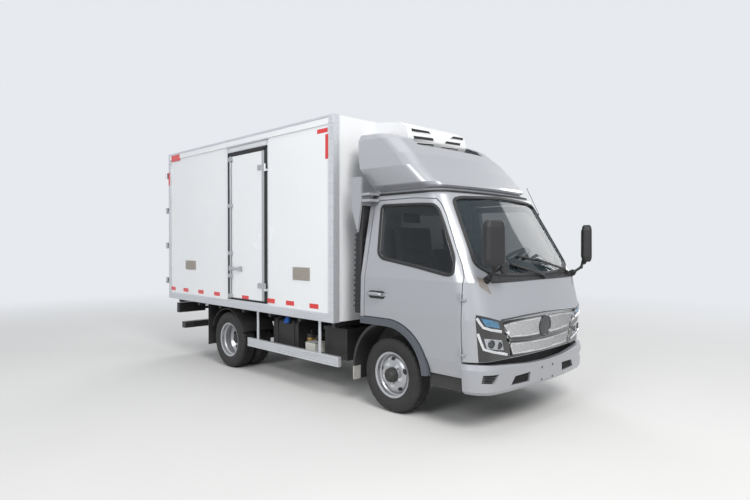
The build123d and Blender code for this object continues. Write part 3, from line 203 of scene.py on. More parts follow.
# The finish of each record slot
SLOT_FINISH = {
    "chassis_black": CHASSIS, "cast_black": CASTING, "spring_steel": SPRING, "engine_grey": ENGINE,
    "tank_metal": CHASSIS, "black_plastic": PLASTIC, "exhaust_steel": EXHAUST, "guard_aluminium": ALUMINIUM,
    "tail_lamp_red": RED_LENS, "box_white": BOX_WHITE, "stainless": STAINLESS, "trim_aluminium": ALUMINIUM,
    "unit_white": UNIT_WHITE, "cab_silver": SILVER, "window_glass": SIDE_GLASS, "arch_plastic": ARCH,
    "lamp_clear": GLOSS_BLACK, "grille_black": GLOSS_BLACK, "interior_plastic": INTERIOR, "seat_fabric": CLOTH,
    "tyre_rubber": TYRE, "rim_silver": RIM,
}
NODE_FINISH = {"cab_glass": SCREEN_GLASS, "tail_lamps": PLASTIC}


def finish_nodes():
    """Each CAD node takes the finish of its slot."""
    for part in frame["record"]["subparts"]:
        shown = nodes[part["node"]]
        finish = NODE_FINISH.get(part["node"], SLOT_FINISH[part["material_slot"]])
        if not shown.material_slots:
            shown.data.materials.append(finish)
        for place in shown.material_slots:
            place.material = finish


# Building blocks
def shown_as(name, data):
    """A new object in the scene."""
    made = bpy.data.objects.new(name, data)
    bpy.context.scene.collection.objects.link(made)
    return made


def new_mesh(name, points, faces):
    mesh = bpy.data.meshes.new(name)
    mesh.from_pydata([tuple(p) for p in points], [], faces)
    return mesh


def shade_by_angle(made, angle):
    """Smooth shading that keeps the edges sharper than an angle in degrees."""
    form = bmesh.new()
    form.from_mesh(made.data)
    for edge in form.edges:
        if len(edge.link_faces) == 2 and edge.calc_face_angle(0) > math.radians(angle):
            edge.smooth = False
    form.to_mesh(made.data)
    form.free()


def add_piece(name, points, faces, finish, body, smooth):
    """A mesh that rides on a CAD body, flat, all smooth (True) or smooth up to an angle in degrees."""
    mesh = new_mesh(name, points, faces)
    mesh.materials.append(finish)
    for face in mesh.polygons:
        face.use_smooth = bool(smooth)
    made = shown_as(name, mesh)
    form = bmesh.new()
    form.from_mesh(mesh)
    bmesh.ops.recalc_face_normals(form, faces=form.faces)
    form.to_mesh(mesh)
    form.free()
    if smooth > 1:
        shade_by_angle(made, smooth)
    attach(made, body)
    return made


def circle(count):
    """The angles of a full turn in equal steps."""
    return [2 * math.pi * i / count for i in range(count)]


def mirrored(half):
    """A line and its mirror image, which meet on the middle line."""
    return list(half) + [(-a, b) for a, b in reversed(half) if a]


class Shape:
    """Points and faces gathered from several simple forms, made into one piece."""

    def __init__(self):
        self.points = []
        self.faces = []

    def grid(self, rows, closed_rows=False, closed_columns=False):
        """Faces between rows of points, all rows the same length."""
        start = len(self.points)
        wide = len(rows[0])
        for row in rows:
            self.points.extend(row)
        for i in range(len(rows) if closed_rows else len(rows) - 1):
            for j in range(wide if closed_columns else wide - 1):
                a, b = start + i * wide, start + ((i + 1) % len(rows)) * wide
                k = (j + 1) % wide
                self.faces.append((a + j, a + k, b + k, b + j))

    def face(self, points):
        start = len(self.points)
        self.points.extend(points)
        self.faces.append(tuple(range(start, start + len(points))))

    def ends(self, rows):
        self.face(list(reversed(rows[0])))
        self.face(rows[-1])

    def box(self, low, high, side=LEFT):
        """A block between two corners given for the left, set on a side."""
        across = sorted((side * low[1], side * high[1]))
        start = len(self.points)
        self.points.extend((x, y, z) for x in (low[0], high[0]) for y in across for z in (low[2], high[2]))
        for face in ((0, 1, 3, 2), (4, 6, 7, 5), (0, 4, 5, 1), (2, 3, 7, 6), (0, 2, 6, 4), (1, 5, 7, 3)):
            self.faces.append(tuple(start + i for i in face))

    def turned(self, origin, axis, profile, count, caps=True):
        """A round form: the profile's (distance along the axis, radius) pairs, spun round it."""
        along = Vector(axis).normalized()
        across = along.orthogonal().normalized()
        other = along.cross(across)
        rows = []
        for distance, radius in profile:
            middle = Vector(origin) + along * distance
            rows.append([middle + radius * (math.cos(t) * across + math.sin(t) * other) for t in circle(count)])
        self.grid(rows, closed_columns=True)
        if caps:
            self.ends(rows)

    def tube(self, path, radius, count, closed=False):
        """A round bar along a path of points."""
        self.band(path, [(radius * math.cos(t), radius * math.sin(t)) for t in circle(count)], None, closed)

    def band(self, path, section, normals=None, closed=False):
        """A section of (across, out) pairs carried along a path, standing on the given normals."""
        rows = []
        path = [Vector(p) for p in path]
        out = None
        for i, middle in enumerate(path):
            ahead = path[(i + 1) % len(path)] if closed or i + 1 < len(path) else middle
            behind = path[i - 1] if closed or i else middle
            along = (ahead - behind).normalized()
            if normals:
                out = normals[i]
            else:
                out = along.orthogonal() if out is None else out
                out = out - along * out.dot(along)
            out = out.normalized()
            across = along.cross(out).normalized()
            rows.append([middle + across * a + out * b for a, b in section])
        self.grid(rows, closed_rows=closed, closed_columns=True)
        if not closed:
            self.ends(rows)

    def laid(self, skin, view, outline, section, spacing=0.02, closed=False):
        """A section carried along an outline laid on a skin."""
        places, normals = skin.line(view, outline, spacing, closed)
        if len(places) > 1:
            self.band(places, section, normals, closed)

    def piece(self, name, finish, body="cab", smooth=False, slot=None, edge=0.0, segments=2):
        """The finished piece, its edges rounded to a width. The slot argument is not used."""
        made = add_piece(name, self.points, self.faces, finish, body, smooth)
        if edge:
            modifier = made.modifiers.new("edges", "BEVEL")
            modifier.width = edge
            modifier.segments = segments
            modifier.limit_method = "ANGLE"
        return made


def blocks(name, boxes, finish, body="chassis", side=LEFT, edge=0.0, segments=2, slot=None):
    """A piece made of blocks given by their low and high corners."""
    form = Shape()
    for low, high in boxes:
        form.box(low, high, side)
    form.piece(name, finish, body, False, slot, edge, segments)


def rounded(outline, radius, steps=4):
    """An outline with its corners turned into arcs."""
    made = []
    for i, corner in enumerate(outline):
        here = Vector(corner)
        before = Vector(outline[i - 1]) - here
        after = Vector(outline[(i + 1) % len(outline)]) - here
        reach = min(radius, before.length * 0.45, after.length * 0.45)
        start = here + before.normalized() * reach
        end = here + after.normalized() * reach
        for step in range(steps + 1):
            t = step / steps
            made.append(tuple((1 - t) ** 2 * start + 2 * t * (1 - t) * here + t ** 2 * end))
    return made


def resampled(outline, spacing, closed=True):
    """The same line with points a set distance apart, its own corners kept."""
    made = []
    count = len(outline) if closed else len(outline) - 1
    for i in range(count):
        a, b = Vector(outline[i]), Vector(outline[(i + 1) % len(outline)])
        pieces = max(1, round((b - a).length / spacing))
        made.extend(tuple(a.lerp(b, step / pieces)) for step in range(pieces))
    if not closed:
        made.append(tuple(outline[-1]))
    return made


def grown(outline, amount):
    """A closed outline moved outwards by an amount."""
    area = sum(a[0] * b[1] - b[0] * a[1] for a, b in zip(outline, outline[1:] + outline[:1]))
    turn = 1 if area > 0 else -1
    made = []
    for i, point in enumerate(outline):
        before = (Vector(point) - Vector(outline[i - 1])).normalized()
        after = (Vector(outline[(i + 1) % len(outline)]) - Vector(point)).normalized()
        side = Vector((before[1] + after[1], -before[0] - after[0])).normalized()
        stretch = 1 / max(0.5, side.dot(Vector((after[1], -after[0]))))
        made.append(tuple(Vector(point) + side * amount * turn * stretch))
    return made


def inside(outline, point):
    """Whether a point lies in an outline."""
    crossings = False
    for (ax, ay), (bx, by) in zip(outline, outline[1:] + outline[:1]):
        if (ay > point[1]) != (by > point[1]) and point[0] < (bx - ax) * (point[1] - ay) / (by - ay) + ax:
            crossings = not crossings
    return crossings


def for_side(side, outline):
    """An outline drawn for the left half in front or back view, set on a side."""
    return list(outline) if side == LEFT else [(-u, v) for u, v in reversed(outline)]


def between(rows, at):
    """The values of a table of rows at a place in its first column, which rises."""
    for row, after in zip(rows, rows[1:]):
        if at <= after[0]:
            share = (at - row[0]) / (after[0] - row[0])
            return [a + (b - a) * share for a, b in zip(row[1:], after[1:])]
    return rows[-1][1:]


# Views: how an outline in a side or front view meets the truck's skin
FAR = 5.0


def seen(view, point):
    """Where a ray starts for a point of an outline, and the way it runs."""
    u, v = point
    if view in ("front", "back"):
        way = -1 if view == "front" else 1
        return Vector((-way * FAR, u, v)), Vector((way, 0, 0))
    side = RIGHT if view == "right" else LEFT
    return Vector((u, side * FAR, v)), Vector((0, -side, 0))


class Skin:
    """The outside of some CAD nodes, found by rays."""

    def __init__(self, *names):
        points, faces = [], []
        for name in names:
            shown = nodes[name]
            start = len(points)
            points.extend(shown.matrix_world @ v.co for v in shown.data.vertices)
            faces.extend([start + i for i in face.vertices] for face in shown.data.polygons)
        self.tree = BVHTree.FromPolygons(points, faces)

    def at(self, view, point):
        """The skin's place and outward normal behind a point of an outline, or None."""
        start, way = seen(view, point)
        place, normal, _, _ = self.tree.ray_cast(start, way)
        if place is None:
            return None
        return place, -normal if normal.dot(way) > 0 else normal

    def line(self, view, outline, spacing=0.03, closed=True):
        """The outline laid on the skin: its places and normals."""
        found = [self.at(view, point) for point in resampled(outline, spacing, closed)]
        return [f[0] for f in found if f], [f[1] for f in found if f]


def strip_section(width, height):
    """A low strip with rounded shoulders, sunk a little."""
    half = width / 2
    return mirrored([(-half, -0.003), (-half, height * 0.6), (-half * 0.7, height)])


def strip(name, skin, view, outline, width, height, finish, body="cab", slot=None, closed=True, spacing=0.03):
    """A trim strip laid on the skin."""
    form = Shape()
    form.laid(skin, view, outline, strip_section(width, height), spacing, closed)
    form.piece(name, finish, body, True, slot)


def cut_up(form, outline, spacing):
    """The outline's face, cut into small triangles."""
    form.faces.new([form.verts.new((u, v, 0)) for u, v in outline])
    for column, normal in ((0, (1, 0, 0)), (1, (0, 1, 0))):
        low, high = min(p[column] for p in outline), max(p[column] for p in outline)
        cuts = max(1, math.ceil((high - low) / spacing))
        for cut in range(1, cuts):
            where = [0, 0, 0]
            where[column] = low + (high - low) * cut / cuts
            everything = form.verts[:] + form.edges[:] + form.faces[:]
            bmesh.ops.bisect_plane(form, geom=everything, plane_co=where, plane_no=normal)
    bmesh.ops.triangulate(form, faces=form.faces)
    form.verts.index_update()


def patch(name, skin, view, outline, finish, proud, thick, spacing, body="cab"):
    """A thin panel with the outline's shape that follows the skin."""
    form = bmesh.new()
    cut_up(form, outline, spacing)
    fronts, backs = [], []
    middle = None
    for vertex in form.verts:
        found = skin.at(view, vertex.co[:2])
        if found is None:
            start, way = seen(view, vertex.co[:2])
            depth = (middle - start).dot(way) if middle else FAR
            found = start + way * depth, -way
        middle = found[0]
        fronts.append(found[0] + found[1] * proud)
        backs.append(found[0] + found[1] * (proud - thick))
    count = len(fronts)
    faces = [tuple(v.index for v in face.verts) for face in form.faces]
    faces += [tuple(count + v.index for v in reversed(face.verts)) for face in form.faces]
    for edge in form.edges:
        if len(edge.link_faces) == 1:
            a, b = (v.index for v in edge.verts)
            faces.append((a, b, count + b, count + a))
    form.free()
    add_piece(name, fronts + backs, faces, finish, body, 40)


# Wheels
tyre_low, tyre_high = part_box("front_tyre_left")
TYRE_RADIUS = (tyre_high[2] - tyre_low[2]) / 2
TYRE_HALF = (tyre_high[1] - tyre_low[1]) / 2
BEAD_RADIUS = 0.2033
TREAD_STEPS = 144
HALF_GROOVES = (-0.036, -0.012)
GROOVE_HALF = 0.0038
GROOVE_DEPTH = 0.009
NOTCH_DEPTH = 0.006
RIB_SWAY = 0.0016
# Half of the sidewall's section: distance across and radius
SIDEWALL = [(-0.066, BEAD_RADIUS), (-0.0745, 0.2065), (-0.0785, 0.214), (-0.0835, 0.2225), (-0.0865, 0.2245),
            (-0.0885, 0.232), (-0.0945, 0.249), (-0.0995, 0.266), (-TYRE_HALF, 0.279), (-0.0997, 0.29),
            (-0.0985, 0.296), (-0.0998, 0.2985), (-0.0975, 0.309), (-0.0925, 0.3235), (-0.0875, 0.3335),
            (-0.0815, 0.3425)]
INNER_WALL = mirrored([(0.066, BEAD_RADIUS), (0.05, 0.206), (0.045, 0.24)])


def tread_profile():
    """Section of the tyre from bead to bead: distance across and radius."""
    half = list(SIDEWALL)
    for across, under in ((-0.0745, 0.0045), (-0.068, 0.0018), (-0.06, 0.0008)):
        half.append((across, TYRE_RADIUS - under))
    for groove in HALF_GROOVES:
        for edge, under in ((-GROOVE_HALF - 0.0006, 0.0002), (-GROOVE_HALF, GROOVE_DEPTH),
                            (GROOVE_HALF, GROOVE_DEPTH), (GROOVE_HALF + 0.0006, 0.0002)):
            half.append((groove + edge, TYRE_RADIUS - under))
    return mirrored(half)


def add_tyre(form, axle_x, middle_y):
    """One tyre with ribs between its grooves and notches round its shoulders."""
    def point(across, radius, angle):
        return axle_x + radius * math.cos(angle), middle_y + across, TYRE_RADIUS + radius * math.sin(angle)

    profile = tread_profile()
    rows = []
    for step, angle in enumerate(circle(TREAD_STEPS)):
        row = []
        for across, radius in profile:
            notched = step % 4 == 0 and 0.04 < abs(across) < 0.082 and radius > 0.335
            ribbed = abs(across) < 0.05 and radius > 0.33
            sway = RIB_SWAY * math.sin(angle * TREAD_STEPS / 4) if ribbed else 0.0
            row.append(point(across + sway, radius - (NOTCH_DEPTH if notched else 0.0), angle))
        rows.append(row)
    form.grid(rows, closed_rows=True)
    form.grid([[point(a, r, angle) for a, r in INNER_WALL] for angle in circle(TREAD_STEPS)], closed_rows=True)


def centre_of(node):
    low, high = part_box(node)
    return (Vector(low) + Vector(high)) / 2


def dress_tyres():
    for word in SIDE_NAMES.values():
        low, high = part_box(f"rear_tyres_{word}")
        for node, body, name, middles in (
            (f"front_tyre_{word}", "front_wheel", "tyre_front", [centre_of(f"front_tyre_{word}").y]),
            (f"rear_tyres_{word}", "rear_wheels", "tyres_rear", [low[1] + TYRE_HALF, high[1] - TYRE_HALF]),
        ):
            form = Shape()
            for middle in middles:
                add_tyre(form, centre_of(node).x, middle)
            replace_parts(form.piece(f"{name}_{word}", TYRE, f"{body}_{word}", 35), node)


NUT_COUNT = 5
NUT_CIRCLE = 0.1
NUT_RADIUS = 0.0165
NUT_HEIGHT = 0.022
HOLE_RING = 0.15
HOLE_ALONG = 0.031
HOLE_ACROSS = 0.0185
REAR_HUB_END = 0.845
# Wheels. Columns: rim node, body, how far the hub stands out, the disc's outer face as radius and height
WHEELS = (
    ("front_rim", "front_wheel", 0.045,
     ((0.198, -0.056), (0.182, -0.042), (0.160, -0.010), (0.140, 0.0), (0.066, 0.0))),
    ("rear_rims", "rear_wheels", 0.083, ((0.198, 0.058), (0.158, 0.016), (0.138, 0.0), (0.066, 0.0))),
)
HUB_CAP = ((-0.006, 0.0665), (0.004, 0.0635), (0.007, 0.058), (0.007, 0.050), (0.014, 0.047), (0.021, 0.040),
           (0.024, 0.026), (0.0245, 0.0))


def add_nut(form, centre, axis):
    """A hexagon nut on its washer, with the stud's round end."""
    form.turned(centre, axis, [(0, NUT_RADIUS * 1.35), (0.004, NUT_RADIUS * 1.35)], 20)
    form.turned(centre, axis, [(0.003, NUT_RADIUS), (NUT_HEIGHT - 0.002, NUT_RADIUS),
                               (NUT_HEIGHT, NUT_RADIUS * 0.85)], 6)
    form.turned(centre, axis, [(NUT_HEIGHT - 0.001, NUT_RADIUS * 0.5), (NUT_HEIGHT + 0.006, NUT_RADIUS * 0.5),
                               (NUT_HEIGHT + 0.008, NUT_RADIUS * 0.35)], 12)


def face_height(face, radius):
    """How far the disc stands out at a radius."""
    for (r0, a0), (r1, a1) in zip(face, face[1:]):
        if r1 <= radius <= r0:
            return a1 + (a0 - a1) * (radius - r1) / (r0 - r1)
    return face[-1][1]


def dress_hand_holes(node, body, side, centre, disc_y, face):
    """Dark patches painted as the shade in the disc's long hand holes, wider than the holes, each with a rolled edge.
    """
    holes, edges = Shape(), Shape()
    for number in range(NUT_COUNT):
        angle = math.radians(90 + 360 / NUT_COUNT * number)
        out = Vector((math.cos(angle), 0, math.sin(angle)))
        along = Vector((-math.sin(angle), 0, math.cos(angle)))
        rows = []
        for size in (1.0, 0.7, 0.35, 0.02):
            row = []
            for t in circle(28):
                flat = out * (HOLE_RING + HOLE_ACROSS * size * math.sin(t)) + along * HOLE_ALONG * size * math.cos(t)
                stands = face_height(face, flat.length) + 0.0015
                row.append(Vector((centre.x, disc_y + side * stands, centre.z)) + flat)
            rows.append(row)
        holes.grid(rows, closed_columns=True)
        edges.tube(rows[0], 0.0026, 8, True)
    # painted shade: dark rubber patches stand in for the shadowed openings of the hand holes
    holes.piece(f"hand_hole_shade_{node}", RUBBER, body, True, slot="cast_black")
    edges.piece(f"hand_hole_edges_{node}", RIM, body, True)


def dress_wheel(node, body, side, stands_out, face):
    """Nuts, hub cap, the painted shade of the hand holes and the ring round the hub of one wheel."""
    centre = centre_of(node)
    hub_end = side * REAR_HUB_END if node.startswith("rear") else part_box(node)[side == LEFT][1]
    disc_y = hub_end - side * stands_out
    axis = (0, side, 0)
    form = Shape()
    for number in range(NUT_COUNT):
        angle = math.radians(54 + 360 / NUT_COUNT * number)
        place = (centre.x + NUT_CIRCLE * math.cos(angle), disc_y, centre.z + NUT_CIRCLE * math.sin(angle))
        add_nut(form, place, axis)
    form.piece(f"wheel_nuts_{node}", CHROME, body, slot="rim_silver")
    cap = Shape()
    cap.turned((centre.x, hub_end, centre.z), axis, ((0.004 - stands_out, 0.0685),) + HUB_CAP, 48, False)
    for angle in circle(6):
        place = (centre.x + 0.054 * math.cos(angle), hub_end + side * 0.005, centre.z + 0.054 * math.sin(angle))
        cap.turned(place, axis, [(0, 0.0062), (0.006, 0.006)], 6)
    cap.piece(f"hub_cap_{node}", CASTING, body, 30)
    dress_hand_holes(node, body, side, centre, disc_y, face)
    ring = Shape()
    ring.turned((centre.x, disc_y, centre.z), axis, [(0.0, 0.076), (0.003, 0.0755), (0.0035, 0.0705), (0.0, 0.07)],
                60, False)
    ring.piece(f"spigot_ring_{node}", RIM, body, True)


def dress_wheels():
    for side, word in SIDE_NAMES.items():
        for node, body, stands_out, face in WHEELS:
            dress_wheel(f"{node}_{word}", f"{body}_{word}", side, stands_out, face)


def valve_stems():
    for side, word in SIDE_NAMES.items():
        start = centre_of(f"front_rim_{word}") + Vector((-0.172, side * 0.052, 0.05))
        form = Shape()
        form.tube([start, start + Vector((0.012, side * 0.02, -0.003)), start + Vector((0.02, side * 0.036, -0.005))],
                  0.004, 8)
        form.piece(f"valve_{word}", RUBBER, f"front_wheel_{word}", True, slot="tyre_rubber")


# Cab
WINDOW = [(1.470, 1.933), (1.940, 1.925), (2.091, 1.916), (2.141, 1.881), (2.220, 1.741), (2.340, 1.511),
          (2.366, 1.457), (2.383, 1.331), (2.321, 1.328), (1.954, 1.392), (1.552, 1.451), (1.498, 1.494)]
WINDSHIELD = mirrored([(0, 1.316), (0.320, 1.320), (0.560, 1.334), (0.690, 1.362), (0.762, 1.410), (0.735, 1.560),
                       (0.700, 1.780), (0.668, 1.960), (0.560, 1.982), (0, 2.004)])
SEAL_HEIGHT = 0.007


def dress_glazing():
    """Rubber surrounds of the door windows and the windshield."""
    for word in SIDE_NAMES.values():
        strip(f"window_seal_{word}", Skin(f"cab_door_{word}"), word, grown(rounded(WINDOW, 0.03), 0.012), 0.026,
              SEAL_HEIGHT, RUBBER, f"cab_door_{word}", spacing=0.02)
    strip("windshield_seal", Skin("cab_shell", "cowl"), "front", grown(rounded(WINDSHIELD, 0.035), 0.014), 0.032,
          SEAL_HEIGHT, RUBBER, spacing=0.02)


ROOF_LINE = Vector((1.75, 0, 2.052))
ROOF_STEPS = 120
ROOF_TURN = 300


def dress_roof():
    """The black gutter round the roof, over the doors and the windshield."""
    shell = Skin("cab_shell")
    places, normals = [], []
    for step in range(ROOF_STEPS + 1):
        angle = math.radians(ROOF_TURN * step / ROOF_STEPS - ROOF_TURN / 2)
        way = Vector((math.cos(angle), math.sin(angle), 0))
        place, normal, _, _ = shell.tree.ray_cast(ROOF_LINE + way * FAR, -way)
        if place is None:
            continue
        places.append(place)
        normals.append(way if normal.dot(way) < 0 else Vector((normal.x, normal.y, 0)))
    form = Shape()
    form.band(places, mirrored([(-0.011, -0.004), (-0.011, 0.008), (-0.006, 0.016)]), normals)
    form.piece("roof_gutter", RUBBER, smooth=True)


BADGE = (0.0, 0.843)
BADGE_RADIUS = 0.098
UPPER_MESH = mirrored([(0.0, 0.936), (0.30, 0.932), (0.52, 0.922), (0.632, 0.906), (0.607, 0.86), (0.566, 0.788),
                       (0.50, 0.782), (0.30, 0.77), (0.0, 0.764)])
LOWER_MESH = mirrored([(0.0, 0.728), (0.30, 0.734), (0.45, 0.742), (0.545, 0.75), (0.512, 0.69), (0.486, 0.634),
                       (0.44, 0.630), (0.25, 0.622), (0.0, 0.618)])
STUD_PITCH = 0.0185
STUD_SIZE = 0.0036
STUD_FIELD = 0.66
STUD_BOTTOM, STUD_TOP = 0.6, 0.96
STUD = ((0, STUD_SIZE), (0.0035, STUD_SIZE * 0.8), (0.005, 0.0008))


def add_studs(studs, panel, field):
    """Staggered rows of studs over a field, clear of the badge."""
    row = 0
    z = STUD_BOTTOM
    while z < STUD_TOP:
        y = -STUD_FIELD + (row % 2) * STUD_PITCH / 2
        while y < STUD_FIELD:
            clear = math.hypot(y - BADGE[0], z - BADGE[1]) > BADGE_RADIUS + 0.012
            found = clear and inside(field, (y, z)) and panel.at("front", (y, z))
            if found:
                studs.turned(found[0] + found[1] * 0.0055, found[1], STUD, 6, False)
            y += STUD_PITCH
        z += STUD_PITCH / 2 * 1.1
        row += 1


def dress_grille():
    """Two pale panels in black frames with dark studs, their dark colour painted shade for the mesh's holes, and a
    bare badge disc.
    """
    panel = Skin("grille")
    for word, outline in (("upper", UPPER_MESH), ("lower", LOWER_MESH)):
        patch(f"grille_panel_{word}", panel, "front", outline, GRILLE_SILVER, 0.006, 0.01, 0.05)
        strip(f"grille_frame_{word}", panel, "front", outline, 0.014, 0.014, GLOSS_BLACK)
        studs = Shape()
        add_studs(studs, panel, grown(outline, -0.02))
        studs.piece(f"grille_hole_shade_{word}", GRILLE_SHADE, slot="grille_black")
    place, normal = panel.at("front", BADGE)
    disc = Shape()
    disc.turned(place + normal * 0.002, normal,
                [(0, BADGE_RADIUS), (0.014, BADGE_RADIUS), (0.02, BADGE_RADIUS - 0.006), (0.02, BADGE_RADIUS - 0.014),
                 (0.015, BADGE_RADIUS - 0.018), (0.0165, 0.05), (0.018, 0.0)], 64, False)
    disc.piece("badge_disc", DARK_CHROME, smooth=40, slot="cab_silver")


UPPER_LENS = [(0.861, 0.975), (0.700, 0.934), (0.672, 0.878), (0.822, 0.908)]
UPPER_GUIDE = [(0.886, 0.985), (0.868, 0.940), (0.842, 0.898), (0.780, 0.876), (0.655, 0.850)]
LOWER_LENS = [(0.832, 0.808), (0.642, 0.778), (0.610, 0.690), (0.806, 0.722)]
LOWER_GUIDE = [(0.874, 0.850), (0.852, 0.780), (0.828, 0.718), (0.740, 0.689), (0.565, 0.648)]
# Lamp bowls. Columns: across, up, radius.
BOWLS = ((0.765, 0.757, 0.034), (0.672, 0.737, 0.03))


def dress_headlamps():
    """Each lamp: a blue upper lens, a clear lower one, bright light guides and two dark bowls."""
    lamp = Skin("headlamps")
    for side, word in SIDE_NAMES.items():
        for name, outline, finish in (("daylight_lens", UPPER_LENS, BLUE_LENS),
                                      ("beam_lens", LOWER_LENS, CLEAR_LENS)):
            patch(f"{name}_{word}", lamp, "front", rounded(for_side(side, outline), 0.008, 3), finish, 0.004, 0.008,
                  0.03)
        for name, line in (("daylight_guide", UPPER_GUIDE), ("beam_guide", LOWER_GUIDE)):
            strip(f"{name}_{word}", lamp, "front", for_side(side, line), 0.024, 0.010, CHROME, "cab", "lamp_clear",
                  False, 0.012)
        bowls = Shape()
        for y, z, radius in BOWLS:
            place, normal = lamp.at("front", (side * y, z))
            bowls.turned(place + normal * 0.003, (1, side * 0.35, 0),
                         [(0, radius), (0.004, radius), (0.006, radius * 0.86), (0.002, radius * 0.8),
                          (0.006, radius * 0.4), (0.008, 0.0)], 32, False)
        bowls.piece(f"lamp_bowls_{word}", DARK_CHROME, smooth=40, slot="lamp_clear")


def dress_nose():
    """The lip over the grille and the bar between its panels."""
    shell = Skin("cab_shell", "grille", "headlamps")
    lip = mirrored([(-0.655, 0.946), (-0.52, 0.951), (-0.30, 0.961), (0, 0.966)])
    strip("grille_lip", shell, "front", lip, 0.012, 0.008, DARK_CHROME, "cab", "grille_black", False)
    bar = mirrored([(-0.556, 0.768), (-0.30, 0.752), (0, 0.746)])
    strip("grille_bar", shell, "front", bar, 0.026, 0.016, GLOSS_BLACK, closed=False)


SLAT_HEIGHTS = (0.452, 0.470, 0.488)
MESH_ROWS, MESH_COLUMNS = 5, 14
MESH_PITCH = 0.0195
MESH_RISE = 0.0145
MESH_CELL = ((0, 0.0085), (0.007, 0.0085), (0.007, 0.0062), (0.001, 0.0062))
PLATE_HOLES = [(y, z) for y in (-0.095, 0.095) for z in (0.370, 0.480)]
# A hole's rim is set on the bar beside the hole
BESIDE = 0.009


def dress_bumper():
    """Slats in the outer recesses, a hexagon mesh in the inner ones, and the rims of the plate's holes."""
    insert = Skin("bumper_inserts")
    bar = Skin("bumper")
    for side, word in SIDE_NAMES.items():
        slats = Shape()
        for z in SLAT_HEIGHTS:
            line = [(side * (0.748 - (z - 0.45) * 0.5), z), (side * 0.852, z + 0.002)]
            slats.laid(insert, "front", line, strip_section(0.009, 0.012))
        slats.piece(f"bumper_slats_{word}", GLOSS_BLACK, smooth=True, slot="black_plastic")
        mesh = Shape()
        for row in range(MESH_ROWS):
            for column in range(MESH_COLUMNS):
                y = side * (0.292 + column * MESH_PITCH + (row % 2) * 0.01)
                found = abs(y) <= 0.54 - row * 0.011 and insert.at("front", (y, 0.401 + row * MESH_RISE))
                if found:
                    mesh.turned(*found, MESH_CELL, 6, False)
        mesh.piece(f"bumper_mesh_{word}", PLASTIC)
    rims = Shape()
    for y, z in PLATE_HOLES:
        place, _ = bar.at("front", (y + BESIDE, z + BESIDE))
        rims.turned(place - Vector((0.002, BESIDE, BESIDE)), (1, 0, 0),
                    [(0, 0.0095), (0.004, 0.0095), (0.004, 0.0058), (0, 0.0058)], 20, False)
    rims.piece("plate_hole_rims", PLASTIC, smooth=True)


# Wipers. Columns: foot of the arm, middle of the blade, both across and up in front view.
WIPERS = (((0.092, 1.272), (-0.343, 1.390)), ((0.640, 1.294), (0.106, 1.422)))
BLADE_HALF = 0.27
BLADE_DROOP = math.radians(5)
BLADE_SECTION = mirrored([(-0.003, 0.001), (-0.003, 0.010), (-0.009, 0.011), (-0.009, 0.016), (-0.004, 0.022)])


def add_wiper(form, foot, middle, screen, cowl):
    """An arm that lies along the glass, and its blade with the spring strip and rubber."""
    base, base_normal = cowl.at("front", foot)
    end, end_normal = screen.at("front", middle)
    form.turned(base - base_normal * 0.002, base_normal,
                [(0, 0.021), (0.012, 0.021), (0.02, 0.018), (0.026, 0.01), (0.027, 0.0)], 20, False)
    top = base + base_normal * 0.018
    path = [top] + [top.lerp(end, share) + end_normal * lift
                    for share, lift in ((0.12, 0.016), (0.45, 0.022), (0.8, 0.026), (1.0, 0.03))]
    form.band(path, mirrored([(-0.011, -0.005), (-0.009, 0.005)]), [base_normal] + [end_normal] * 4)
    way = Vector((middle[0] - foot[0], middle[1] - foot[1])).normalized()
    way.rotate(Matrix.Rotation(BLADE_DROOP, 2))
    way *= BLADE_HALF
    line = [(middle[0] - way.x, middle[1] - way.y), (middle[0] + way.x, middle[1] + way.y)]
    form.laid(screen, "front", line, BLADE_SECTION, 0.03)


def dress_wipers():
    screen = Skin("cab_glass")
    cowl = Skin("cowl", "cab_shell")
    for number, (foot, middle) in enumerate(WIPERS, 1):
        form = Shape()
        add_wiper(form, foot, middle, screen, cowl)
        form.piece(f"wiper_{number}", RUBBER)


COWL_SLOT = mirrored([(-0.0035, -0.001), (-0.0035, 0.0015)])


def dress_cowl():
    """Rows of slots in the black panel under the glass."""
    cowl = Skin("cowl")
    slots = Shape()
    for row, height in enumerate((1.270, 1.282, 1.294)):
        for number in range(-9, 10):
            if abs(number) < 2 and row == 2:
                continue
            middle = 0.062 * number
            slots.laid(cowl, "front", [(middle - 0.024, height), (middle + 0.024, height)], COWL_SLOT)
    slots.piece("cowl_slots", RUBBER)


MIRROR_TURN = math.radians(25)
MIRROR_REACH = 0.0728
MIRROR_Y = 0.827
MIRROR_Z = 1.582
HEAD_OUTLINE = rounded([(-0.074, 1.452), (0.074, 1.452), (0.071, 1.712), (-0.071, 1.712)], 0.028, 6)
GLASS_SIZE = 0.975


